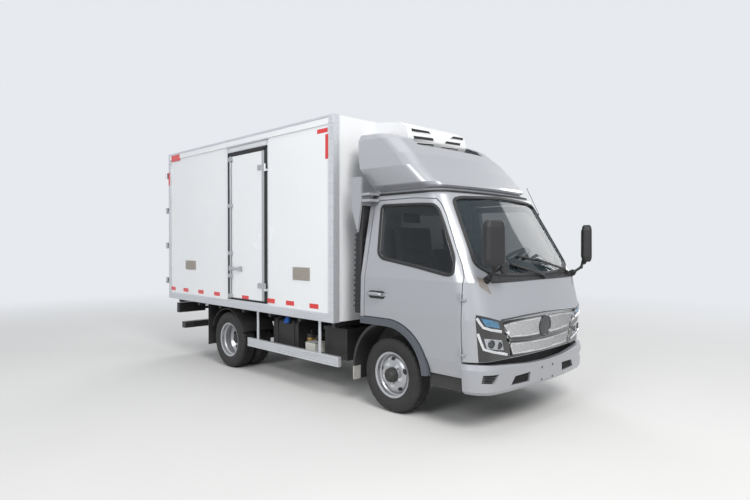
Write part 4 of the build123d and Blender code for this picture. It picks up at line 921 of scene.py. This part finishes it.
def dress_mirrors():
    """The glass in each mirror head, the frame round it, the arm's clamps, and the round mirror's glass."""
    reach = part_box("mirrors")[1][0] - MIRROR_REACH
    for side, word in SIDE_NAMES.items():
        turn = side * MIRROR_TURN
        back = Vector((-math.cos(turn), -math.sin(turn), 0))
        across = Vector((-math.sin(turn), math.cos(turn), 0))
        middle = Vector((reach, side * MIRROR_Y, 0))

        def loop(size, depth):
            return [middle + back * depth + across * u * size + Vector((0, 0, MIRROR_Z + (v - MIRROR_Z) * size))
                    for u, v in HEAD_OUTLINE]

        form = Shape()
        form.grid([loop(1.03, 0.046), loop(1.03, 0.0525), loop(0.985, 0.0535), loop(0.97, 0.0515)],
                  closed_columns=True)
        form.piece(f"mirror_frame_{word}", PLASTIC)
        pane = Shape()
        pane.face(loop(GLASS_SIZE, 0.0518))
        pane.grid([loop(GLASS_SIZE, 0.0518), loop(GLASS_SIZE, 0.049)], closed_columns=True)
        pane.piece(f"mirror_glass_{word}", MIRROR)
        clamp = Shape()
        low, elbow = Vector((2.638, side * 0.745, 1.294)), Vector((2.700, side * 0.782, 1.345))
        clamp.turned(low, elbow - low, [(-0.004, 0.018), (0.0, 0.023), (0.014, 0.023), (0.02, 0.016)], 20)
        neck = Vector((reach - 0.012, side * 0.797, 1.40))
        clamp.turned(neck, elbow - neck, [(-0.01, 0.026), (0.008, 0.026), (0.022, 0.019), (0.028, 0.014)], 20)
        clamp.piece(f"mirror_clamps_{word}", PLASTIC, smooth=40)
    dish = Shape()
    dish.turned((2.7255, -0.690, 1.384), (-1, 0, 0),
                [(0, 0.052), (0.003, 0.052), (0.004, 0.048), (0.002, 0.046), (0.004, 0.03), (0.005, 0.0)], 40, False)
    dish.piece("round_mirror_glass", MIRROR, smooth=40)


def dress_antenna():
    base, normal = Skin("cab_shell").at("left", (2.232, 1.884))
    tip = Vector((2.10, base.y + 0.012, 2.17))
    root = base + normal * 0.016
    form = Shape()
    form.turned(base - normal * 0.004, normal, [(0, 0.014), (0.014, 0.012), (0.022, 0.006)], 14)
    form.tube([root, root.lerp(tip, 0.5), tip], 0.0028, 8)
    form.turned(tip, tip - root, [(-0.004, 0.003), (0.0, 0.0048), (0.006, 0.0035)], 10)
    form.piece("antenna", RUBBER, smooth=True)


def dress_housings():
    """The pale end of each front mud flap."""
    for side, word in SIDE_NAMES.items():
        blocks(f"flap_end_{word}", [((1.1665, 0.835, 0.237), (1.1855, 0.928, 0.372))], PALE_FLAP, "cab", side, 0.004)


# The air duct's rear and front faces by height
DUCT_ROWS = ((0.900, 1.150, 1.240), (1.650, 1.170, 1.258), (1.950, 1.225, 1.292))
RIB_FIRST, RIB_LAST = 0.96, 1.93
RIB_PITCH = 0.05
RIB_HEIGHT = 0.014


def dress_duct():
    """Ribs across the outer and rear faces of the air duct."""
    ribs = []
    z = RIB_FIRST
    while z < RIB_LAST:
        rear, front = between(DUCT_ROWS, z)
        ribs.append(((rear - 0.004, -0.9045, z), (front - 0.022, -0.790, z + RIB_HEIGHT)))
        z += RIB_PITCH
    blocks("duct_ribs", ribs, PLASTIC, "cab", edge=0.003)


WEDGE = ((0.814, 1.304), (0.822, 1.230), (0.742, 1.172), (0.716, 1.162), (0.742, 1.232), (0.768, 1.292))
HANDLE_RECESS_SHADE = ((1.412, 1.062), (1.600, 1.062), (1.622, 1.098), (1.600, 1.136), (1.412, 1.136), (1.396, 1.098))
HANDLE_LINE = ((1.418, 1.104), (1.46, 1.112), (1.55, 1.113), (1.606, 1.106))
LOCK = (1.632, 1.098)


def dress_cab_doors():
    """The dish painted dark as the shade of its recess, the grip and lock of each cab door, and the smoked corner
    panel under each mirror.
    """
    shell = Skin("cab_shell")
    for side, word in SIDE_NAMES.items():
        body = f"cab_door_{word}"
        door = Skin(body)
        # painted shade: a thin dark patch stands in for the shadowed recess behind the grip
        patch(f"handle_recess_shade_{word}", door, word, rounded(HANDLE_RECESS_SHADE, 0.02, 5), CHASSIS, 0.0015, 0.004, 0.03,
              body)
        places, normals = door.line(word, HANDLE_LINE, 0.02, False)
        lifts = [0.006] + [0.02] * (len(places) - 2) + [0.006]
        raised = [place + normal * lift for place, normal, lift in zip(places, normals, lifts)]
        grip = Shape()
        grip.band(raised, mirrored([(-0.013, -0.003), (-0.012, 0.005), (-0.006, 0.009)]), normals)
        grip.turned(*door.at(word, LOCK), [(-0.002, 0.012), (0.003, 0.012), (0.004, 0.010), (0.004, 0.0)], 24, False)
        grip.piece(f"handle_grip_{word}", SILVER, body, True)
        patch(f"corner_panel_{word}", shell, "front", for_side(side, WEDGE), SMOKED, 0.0025, 0.006, 0.02)


# The rows of the sheet of painted shade. Columns: how far behind the nose, height.
GAP_ROWS = ((0.075, 0.655), (0.075, 0.54), (0.02, 0.43))


def dress_gap():
    """A dark sheet behind the gap between the grille and the bumper: painted shade standing in for the shadowed space
    behind the gap.
    """
    nose = Skin("grille", "headlamps", "bumper")
    rows = [[] for _ in GAP_ROWS]
    for step in range(-11, 12):
        y = 0.072 * step
        found = nose.at("front", (y, 0.63)) or nose.at("front", (y * 0.98, 0.64))
        if found:
            for row, (back, z) in zip(rows, GAP_ROWS):
                row.append(Vector((found[0].x - back, y, z)))
    sheet = Shape()
    sheet.grid(rows)
    sheet.grid([[p - Vector((0.004, 0, 0)) for p in row] for row in rows])
    # painted shade: a dark sheet where the gap shows only shade
    sheet.piece("gap_shade_sheet", RUBBER, smooth=True)


# Seats. Columns: name, side profile (along, up), the two sides.
CUSHIONS = (
    ("base", ((1.492, 1.070), (1.988, 1.070), (1.988, 1.190), (1.955, 1.226), (1.492, 1.226)), (0.127, 0.648)),
    ("back", ((1.494, 1.252), (1.583, 1.252), (1.490, 1.748), (1.424, 1.748)), (0.127, 0.648)),
    ("headrest", ((1.450, 1.792), (1.488, 1.792), (1.470, 1.888), (1.434, 1.888)), (0.270, 0.505)),
)
VOXEL = 0.013
SWELL = 0.010
PRESSURE = 4.0
LAST_TICK = 20
FOOT_HEIGHT = 0.004
SEAM_DEPTH = 0.008
SEAM_WIDTH = 0.009
SEWN_LEAN = 0.45
BOLSTERS = (0.225, 0.550)
# Sewn channels across each cushion: the axis they lie along, and their places on it
CROSS_SEAMS = {"base": (0, (1.64, 1.79)), "back": (2, (1.38, 1.50, 1.62)), "headrest": (2, ())}
SEWN_FACE = {"base": Vector((0, 0, 1)), "back": Vector((1, 0, 0.18)).normalized(), "headrest": Vector((1, 0, 0))}


def evaluated_mesh(thing):
    graph = bpy.context.evaluated_depsgraph_get()
    return bpy.data.meshes.new_from_object(thing.evaluated_get(graph))


def with_modifier(thing, kind, **settings):
    """The thing's mesh with one modifier applied."""
    modifier = thing.modifiers.new(kind.lower(), kind)
    for name, value in settings.items():
        setattr(modifier, name, value)
    made = evaluated_mesh(thing)
    thing.modifiers.clear()
    thing.data = made


def swollen(cover):
    """The cover blown up by the cloth solver, with no point moving far and its underside kept flat."""
    start = [v.co.copy() for v in cover.data.vertices]
    cloth = cover.modifiers.new("cloth", "CLOTH")
    cloth.settings.use_pressure = True
    cloth.settings.uniform_pressure_force = PRESSURE
    cloth.settings.effector_weights.gravity = 0.0
    for tick in range(1, LAST_TICK + 1):
        bpy.context.scene.frame_set(tick)
    ended = [v.co.copy() for v in evaluated_mesh(cover).vertices]
    cover.modifiers.clear()
    bpy.context.scene.frame_set(1)
    bottom = min(p.z for p in start)
    for vertex, before, after in zip(cover.data.vertices, start, ended):
        move = after - before
        if move.length > SWELL:
            move *= SWELL / move.length
        if before.z < bottom + FOOT_HEIGHT:
            move.z = 0.0
        vertex.co = before + move


def sewn(mesh, name):
    """Channels pressed into the cushion's face: one along each bolster and some across between them."""
    axis, places = CROSS_SEAMS[name]
    for vertex in mesh.vertices:
        if vertex.normal.dot(SEWN_FACE[name]) < SEWN_LEAN:
            continue
        y = vertex.co.y
        depths = [] if name == "headrest" else [abs(y - edge) for edge in BOLSTERS]
        if BOLSTERS[0] < y < BOLSTERS[1]:
            depths += [abs(vertex.co[axis] - place) for place in places]
        if depths:
            vertex.co -= vertex.normal * SEAM_DEPTH * math.exp(-(min(depths) / SEAM_WIDTH) ** 2)


def cushion(name, profile, near, far):
    """The points and faces of one cushion, swollen and sewn."""
    form = Shape()
    form.grid([[(x, y, z) for x, z in profile] for y in (near, far)], closed_columns=True)
    form.face([(x, near, z) for x, z in reversed(profile)])
    form.face([(x, far, z) for x, z in profile])
    mesh = new_mesh(name, form.points, form.faces)
    solid = bmesh.new()
    solid.from_mesh(mesh)
    bmesh.ops.remove_doubles(solid, verts=solid.verts, dist=0.0001)
    bmesh.ops.recalc_face_normals(solid, faces=solid.faces)
    solid.to_mesh(mesh)
    solid.free()
    cover = shown_as(f"cover_{name}", mesh)
    with_modifier(cover, "REMESH", mode="VOXEL", voxel_size=VOXEL)
    swollen(cover)
    with_modifier(cover, "SUBSURF", levels=1, render_levels=1)
    sewn(cover.data, name)
    points = [v.co.copy() for v in cover.data.vertices]
    faces = [tuple(p.vertices) for p in cover.data.polygons]
    bpy.data.objects.remove(cover)
    return points, faces


def dress_seats():
    """Two seats: cushions, headrest posts and pedestals."""
    for name, profile, (near, far) in CUSHIONS:
        points, faces = cushion(name, profile, near, far)
        for side, word in SIDE_NAMES.items():
            placed = [(p.x, side * p.y, p.z) for p in points]
            made = add_piece(f"seat_{name}_{word}", placed, faces, CLOTH, "cab", True)
            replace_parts(made, "seats")
    for side, word in SIDE_NAMES.items():
        rails = [((1.500, y - 0.014, 1.043), (1.965, y + 0.014, 1.068)) for y in (0.335, 0.630)]
        blocks(f"seat_stand_{word}", [((1.505, 0.310, 0.881), (1.955, 0.655, 1.045))] + rails, INTERIOR, "cab", side,
               0.010, 3)
        posts = Shape()
        for y in (0.335, 0.440):
            posts.tube([(1.462, side * y, 1.735), (1.468, side * y, 1.80)], 0.006, 12)
        posts.piece(f"headrest_posts_{word}", CHROME, smooth=True, slot="interior_plastic")


# Insulated box
BOX_HALF = 1.0
TAPE_Z = 0.925
TAPE_HALF = 0.075
TAPE_RISE = 0.025
TAPE_PLACES = (-2.640, -2.243, -1.805, -1.373, 0.223, 0.644)
DOOR_TAPE = -0.674
POST_TAPE = -0.141
POST_FACE = 1.0045
TRIM_FACE = 1.0135
# Tapes at the upper corners. Columns: rear, front, bottom, top, face.
CORNER_TAPES = ((0.70, 0.87, 2.71, 2.755, BOX_HALF + 0.0008), (0.831, 0.886, 2.44, 2.69, BOX_HALF + 0.0008),
                (-2.66, -2.40, 2.765, 2.85, TRIM_FACE), (-2.757, -2.722, 2.43, 2.62, TRIM_FACE))


def dress_tape():
    """Red reflector strips along the box's foot and at its upper corners."""
    low, high = TAPE_Z - TAPE_RISE, TAPE_Z + TAPE_RISE
    for side, word in SIDE_NAMES.items():
        places = [(x, BOX_HALF + 0.0008) for x in TAPE_PLACES + ((DOOR_TAPE,) if side == LEFT else ())]
        rows = [(x - TAPE_HALF, x + TAPE_HALF, low, high, face) for x, face in places + [(POST_TAPE, POST_FACE)]]
        tapes = [((x0, BOX_HALF - 0.001, z0), (x1, face, z1)) for x0, x1, z0, z1, face in rows + list(CORNER_TAPES)]
        blocks(f"tape_{word}", tapes, RED_TAPE, "chassis", side, slot="box_white")
    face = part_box("side_door")[0][1]
    tape = ((DOOR_TAPE - TAPE_HALF, face - 0.0008, low), (DOOR_TAPE + TAPE_HALF, face + 0.001, high))
    blocks("tape_door", [tape], RED_TAPE, "side_door", slot="box_white")


RAIL_FACE = BOX_HALF + 0.01
# Rivets of the corner posts. Columns: place along, lowest, highest.
RIVET_ROWS = ((0.925, 0.95, 2.75), (-2.726, 0.95, 2.40))
RIVET_STEPS = 16
# Corner caps. Columns: rear, front.
CAPS = ((0.888, 0.9695), (-2.7605, -2.692))


def dress_box_edges():
    """Grooved rails, the white strips over them, rivets and corner caps of the box."""
    low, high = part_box("box_trim")
    for side, word in SIDE_NAMES.items():
        grooves = [((low[0] + 0.004, RAIL_FACE, z), (high[0] - 0.014, RAIL_FACE + 0.0035, z + 0.008))
                   for z in (0.797, 0.822, 0.847, 2.858)]
        blocks(f"rail_ribs_{word}", grooves, ALUMINIUM, "chassis", side, 0.002)
        cover = ((-2.690, BOX_HALF - 0.001, 2.788), (0.888, RAIL_FACE + 0.002, 2.850))
        blocks(f"rail_cover_{word}", [cover], BOX_WHITE, "chassis", side, 0.002)
        rivets = Shape()
        for x, z0, z1 in RIVET_ROWS:
            for step in range(RIVET_STEPS + 1):
                place = (x, side * (RAIL_FACE - 0.001), z0 + (z1 - z0) * step / RIVET_STEPS)
                rivets.turned(place, (0, side, 0), [(0, 0.006), (0.0022, 0.005), (0.0032, 0.002)], 10, False)
        rivets.piece(f"post_rivets_{word}", STAINLESS, "chassis", True)
        caps = [((x0, 0.93, 2.79), (x1, RAIL_FACE + 0.003, 2.8797)) for x0, x1 in CAPS]
        blocks(f"corner_caps_{word}", caps, ALUMINIUM, "chassis", side, 0.008, 3)


# Service plates on the right wall. Columns: rear, front, bottom, top.
SERVICE_PLATES = ((0.279, 0.578, 1.186, 1.325), (-2.240, -1.945, 1.217, 1.341))
SCREW_INSET = 0.018


def dress_side_wall():
    """Two bare grey service plates low on the right wall, each with four screws."""
    for number, (x0, x1, z0, z1) in enumerate(SERVICE_PLATES, 1):
        plate = ((x0, -BOX_HALF - 0.007, z0), (x1, -BOX_HALF + 0.001, z1))
        blocks(f"service_plate_{number}", [plate], SERVICE, edge=0.004, slot="trim_aluminium")
        screws = Shape()
        for x in (x0 + SCREW_INSET, x1 - SCREW_INSET):
            for z in (z0 + SCREW_INSET, z1 - SCREW_INSET):
                screws.turned((x, -BOX_HALF - 0.0065, z), (0, -1, 0), [(0, 0.006), (0.002, 0.0055), (0.003, 0.003)],
                              12, False)
        screws.piece(f"service_screws_{number}", STAINLESS, "chassis", True)


def border(a0, a1, z0, z1, width):
    """Four strips along the edges of a rectangle: their low and high corners, across and up."""
    return (((a0, z0), (a1, z0 + width)), ((a0, z1 - width), (a1, z1)), ((a0, z0), (a0 + width, z1)),
            ((a1 - width, z0), (a1, z1)))


GASKET_WIDTH = 0.022
FRAME_SEAL_WIDTH = 0.032
CHANNEL_WIDTH = 0.05
REAR_GASKET_WIDTH = 0.024


def dress_side_door():
    """The gasket round the side door, the seal of its frame and its edge channels."""
    (x0, face, z0), (x1, _, z1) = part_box("side_door")
    gasket = [((a, face - 0.003, z), (b, face + 0.004, top))
              for (a, z), (b, top) in border(x0, x1, z0, z1, GASKET_WIDTH)]
    blocks("side_door_gasket", gasket, RUBBER, "side_door", edge=0.002)
    wide = FRAME_SEAL_WIDTH
    seal = [((a, -BOX_HALF - 0.0075, z), (b, -BOX_HALF + 0.001, top)) for a, b, z, top in (
        (x0 - wide, x0 - 0.003, z0, z1 + wide), (x1 + 0.003, x1 + wide, z0, z1 + wide),
        (x0 - wide, x1 + wide, z1 + 0.003, z1 + wide))]
    blocks("side_door_frame_seal", seal, RUBBER, edge=0.002)
    channels = [((x, face - 0.004, z0 + GASKET_WIDTH), (x + CHANNEL_WIDTH, face + 0.001, z1 - GASKET_WIDTH))
                for x in (x0 + GASKET_WIDTH, x1 - GASKET_WIDTH - CHANNEL_WIDTH)]
    blocks("side_door_channels", channels, STAINLESS, "side_door", edge=0.0015)


def dress_rear_doors():
    """The gaskets of the rear doors, seen from behind."""
    for word in SIDE_NAMES.values():
        (face, y0, z0), (_, y1, z1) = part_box(f"rear_door_{word}")
        gasket = [((face - 0.003, *low), (face + 0.004, *high))
                  for low, high in border(y0, y1, z0, z1, REAR_GASKET_WIDTH)]
        blocks(f"rear_gasket_{word}", gasket, RUBBER, f"rear_door_{word}", edge=0.002)


def add_bolts(body, view, axis, places):
    """Two round bolt heads, one over the other, at each place on a door's ironwork."""
    irons = Skin(f"{body}_hardware")
    form = Shape()
    for u, v in places:
        for rise in (-0.016, 0.016):
            found = irons.at(view, (u, v + rise))
            if found:
                form.turned(found[0] - found[1] * 0.0005, axis, [(0, 0.008), (0.003, 0.0075), (0.005, 0.004)], 12,
                            False)
    form.piece(f"bolts_{body}_hardware", STAINLESS, body, True)


def strap_bolts():
    """The bolts of every hinge strap and rod keeper."""
    add_bolts("side_door", "right", (0, -1, 0), [(x, z) for z in (1.087, 2.467) for x in (-0.30, -0.35)])
    for side, word in SIDE_NAMES.items():
        places = [(side * y, z) for y in (0.86, 0.76) for z in (1.05, 1.56, 2.07, 2.58)]
        add_bolts(f"rear_door_{word}", "back", (-1, 0, 0), places)


# The cooling unit's front face by height, and the corners of its louvres: across and up
UNIT_FACE = ((2.567, 1.460), (2.637, 1.500), (2.755, 1.475), (2.815, 1.370))
UNIT_SLOTS = (((-0.425, 2.742), (-0.145, 2.750), (-0.112, 2.724), (-0.420, 2.708)),
              ((-0.410, 2.668), (-0.090, 2.684), (-0.086, 2.650), (-0.402, 2.633)),
              ((-0.382, 2.603), (-0.080, 2.621), (-0.066, 2.604), (-0.352, 2.588)),
              ((0.270, 2.752), (0.462, 2.762), (0.440, 2.728), (0.205, 2.718)),
              ((0.132, 2.680), (0.390, 2.690), (0.364, 2.655), (0.086, 2.648)),
              ((0.048, 2.612), (0.333, 2.622), (0.342, 2.608), (0.072, 2.598)))
UNIT_COLUMNS = (-0.468, -0.3, -0.1, 0.1, 0.3, 0.468)
UNIT_HEIGHTS = [2.572 + 0.0125 * step for step in range(19)]


def unit_point(y, z, out):
    """A point before the cooling unit's face."""
    return Vector((between(UNIT_FACE, z)[0] + out, y, z))


def face_grid(corners, out):
    """Four rows of seven points on the unit's face between four corners."""
    a, b, c, d = (Vector(corner) for corner in corners)
    rows = []
    for up in (0, 1 / 3, 2 / 3, 1):
        start, end = a.lerp(d, up), b.lerp(c, up)
        row = [start.lerp(end, step / 6) for step in range(7)]
        rows.append([unit_point(p.x, p.y, out) for p in row])
    return rows


def dress_unit():
    """The unit's front cover with six louvres, each a dark patch painted as the shade in its slot, with slats and a
    raised edge.
    """
    cover = Shape()
    depths = [(z, 0.003) for z in UNIT_HEIGHTS] + [(z, -0.004) for z in reversed(UNIT_HEIGHTS)]
    rows = [[unit_point(y, z, out) for z, out in depths] for y in UNIT_COLUMNS]
    cover.grid(rows, closed_columns=True)
    last = len(rows[0]) - 1
    for row in (rows[0], rows[-1]):
        for i in range(len(UNIT_HEIGHTS) - 1):
            cover.face([row[i], row[i + 1], row[last - 1 - i], row[last - i]])
    cover.piece("unit_front", UNIT_WHITE, "chassis", 40)
    slots, slats, rims = Shape(), Shape(), Shape()
    for corners in UNIT_SLOTS:
        slots.grid(face_grid(corners, 0.0042))
        edge = face_grid(corners, 0.004)
        right = [row[-1] for row in edge[1:]]
        left = [row[0] for row in edge[-2:0:-1]]
        rims.tube(edge[0] + right + list(reversed(edge[-1][:-1])) + left, 0.0028, 8, True)
        for row in face_grid(corners, 0.0055)[1:-1]:
            slats.tube(row, 0.0016, 6)
    # painted shade: the dark slot patches stand in for the shade inside the louvres
    slots.piece("unit_louvre_shade", RUBBER, "chassis")
    slats.piece("unit_louvre_slats", PLASTIC, "chassis", True)
    rims.piece("unit_louvre_rims", UNIT_WHITE, "chassis", True)


# Underbody
TANK_OUTLINE = rounded([(-0.803, 0.357), (-0.803, 0.693), (-0.388, 0.693), (-0.388, 0.357)], 0.046, 5)
TANK_MIDDLE = (0.595, 0.525)


def dress_tanks():
    """The blue cap, the filter bowl, the pale reservoir and the tank's straps."""
    cap, bowl, straps = Shape(), Shape(), Shape()
    cap.turned((-0.09, -0.806, 0.684), (0, -0.83, 0.55), [(0, 0.040), (0.022, 0.040), (0.028, 0.034), (0.028, 0.0)],
               24, False)
    cap.piece("tank_cap", CAP_BLUE, "chassis")
    bowl.turned((0.22, -0.70, 0.436), (0, 0, 1), [(0, 0.03), (0.006, 0.0495), (0.075, 0.0495), (0.08, 0.0485)], 28)
    bowl.piece("filter_bowl", BRASS, "chassis", True)
    blocks("reservoir_shell", [((0.312, -0.862, 0.388), (0.502, -0.698, 0.502))], NATURAL, edge=0.014, segments=3)
    for x in (-0.30, 0.02):
        path = [Vector((x, y, z)) for y, z in TANK_OUTLINE]
        normals = [Vector((0, p.y + TANK_MIDDLE[0], p.z - TANK_MIDDLE[1])).normalized() for p in path]
        straps.band(path, mirrored([(-0.018, -0.001), (-0.018, 0.003)]), normals, True)
    straps.piece("tank_straps", CASTING, "chassis")


LENS_BOTTOM, LENS_TOP = 0.59, 0.69
# Tail lamps. Columns: name, the two sides, finish.
LENSES = (("red", 0.54, 0.66, RED_LENS), ("clear", 0.67, 0.76, CLEAR_LENS), ("amber", 0.77, 0.91, AMBER_LENS))


def dress_tail():
    """The lenses of the tail lamps."""
    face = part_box("tail_lamps")[0][0]
    for side, word in SIDE_NAMES.items():
        for label, near, far, finish in LENSES:
            lens = ((face - 0.008, near, LENS_BOTTOM), (face + 0.002, far, LENS_TOP))
            blocks(f"{label}_lens_{word}", [lens], finish, "chassis", side, 0.006, 3, "tail_lamp_red")


# Studio
CAMERA_PLACE = Vector((5.2766, -4.6707, 1.5830))
CAMERA_YAW = math.radians(45.414)
CAMERA_PITCH = math.radians(-0.685)
CAMERA_ROLL = math.radians(-0.024)


def add_camera():
    data = bpy.data.cameras.new("camera")
    data.sensor_width = 36.0
    data.lens = 27.034
    data.clip_end = 200.0
    made = shown_as("camera", data)
    forward = Vector((-math.sin(CAMERA_YAW) * math.cos(CAMERA_PITCH), math.cos(CAMERA_YAW) * math.cos(CAMERA_PITCH),
                      math.sin(CAMERA_PITCH)))
    right = Vector((math.cos(CAMERA_YAW), math.sin(CAMERA_YAW), 0))
    turn = Matrix((right, right.cross(forward), -forward)).transposed()
    turn = Matrix.Rotation(CAMERA_ROLL, 3, forward) @ turn
    made.matrix_world = Matrix.Translation(CAMERA_PLACE) @ turn.to_4x4()
    bpy.context.scene.camera = made


def area_light(name, place, target, size, power, colour=(1, 1, 1)):
    data = bpy.data.lights.new(name, "AREA")
    data.shape = "DISK"
    data.size = size
    data.energy = power
    data.color = colour
    made = shown_as(name, data)
    made.location = place
    made.rotation_euler = (Vector(target) - Vector(place)).to_track_quat("-Z", "Y").to_euler()


FLOOR_COLOUR = (0.62, 0.62, 0.615)
FLOOR_REACH = 400.0
BACKDROP = (0.84, 0.865, 0.9)
BACKDROP_STRENGTH = 0.95
SKY = (0.93, 0.96, 1.0)
SKY_STRENGTH = 0.5
FADE_FROM, FADE_TO = 4.5, 13.0


def background_rays(tree):
    """One for rays from the camera, a reflection or a glass, which see the backdrop."""
    rays = tree.nodes.new("ShaderNodeLightPath").outputs
    found = rays["Is Camera Ray"]
    for name in ("Is Glossy Ray", "Is Transmission Ray"):
        found = tree.add("Math", {0: found, 1: rays[name]}, "Value", operation="MAXIMUM")
    return found


def floor_material():
    """A pale floor that fades into the backdrop far out."""
    made = shaded("floor", lambda tree: {
        "Base Color": ramp(tree, noise(tree, 1.5), [c * 0.985 for c in FLOOR_COLOUR], FLOOR_COLOUR),
        "Roughness": 0.9, "Specular IOR Level": 0.1})
    tree = Tree(made)
    place = tree.add("NewGeometry", {}, "Position")
    away = tree.add("VectorMath", {0: place}, "Value", operation="LENGTH")
    fade = tree.add("MapRange", {"Value": away, "From Min": FADE_FROM, "From Max": FADE_TO}, "Result",
                    interpolation_type="SMOOTHSTEP")
    amount = tree.add("Math", {0: fade, 1: background_rays(tree)}, "Value", operation="MULTIPLY")
    glow = tree.add("Emission", {"Color": (*BACKDROP, 1), "Strength": BACKDROP_STRENGTH}, "Emission")
    pale = tree.nodes["Principled BSDF"].outputs["BSDF"]
    mix = tree.add("MixShader", {"Fac": amount, 1: pale, 2: glow}, "Shader")
    tree.fill(tree.nodes["Material Output"], {"Surface": mix})
    return made


def add_world():
    """Soft light from all round, before which the backdrop stands."""
    world = bpy.data.worlds.new("studio")
    bpy.context.scene.world = world
    tree = Tree(world)
    tree.fill(tree.nodes["Background"], {"Color": (*SKY, 1), "Strength": SKY_STRENGTH})
    sky = tree.nodes["Background"].outputs["Background"]
    backdrop = tree.add("Background", {"Color": (*BACKDROP, 1), "Strength": BACKDROP_STRENGTH}, "Background")
    mix = tree.add("MixShader", {"Fac": background_rays(tree), 1: sky, 2: backdrop}, "Shader")
    tree.fill(tree.nodes["World Output"], {"Surface": mix})


def add_studio():
    """A pale floor that runs into a pale background, and soft lights."""
    corners = [(x * FLOOR_REACH, y * FLOOR_REACH, 0) for x, y in ((-1, -1), (1, -1), (1, 1), (-1, 1))]
    mesh = new_mesh("floor", corners, [(0, 1, 2, 3)])
    mesh.materials.append(floor_material())
    shown_as("floor", mesh)
    add_world()
    area_light("key", (8.5, -4.0, 8.0), (1.5, 0, 1.2), 5.0, 900.0, (1.0, 0.98, 0.95))
    area_light("side", (3.0, -12.0, 7.0), (-0.5, 0, 1.4), 6.0, 600.0)
    area_light("back", (-8.0, 7.0, 7.0), (-1.0, 0, 1.2), 6.0, 440.0)
    area_light("top", (0.0, 0.0, 11.0), (0, 0, 0), 8.0, 130.0)
    area_light("left", (3.0, 12.0, 6.5), (0, 0, 1.3), 6.0, 330.0)
    bpy.context.scene.view_settings.view_transform = "Standard"


add_camera()
add_studio()
finish_nodes()
dress_tyres()
dress_wheels()
valve_stems()
dress_glazing()
dress_roof()
dress_grille()
dress_headlamps()
dress_nose()
dress_bumper()
dress_cowl()
dress_wipers()
dress_mirrors()
dress_antenna()
dress_seats()
dress_cab_doors()
dress_housings()
dress_duct()
dress_gap()
dress_tape()
dress_box_edges()
dress_side_wall()
dress_side_door()
dress_rear_doors()
strap_bolts()
dress_unit()
dress_tanks()
dress_tail()
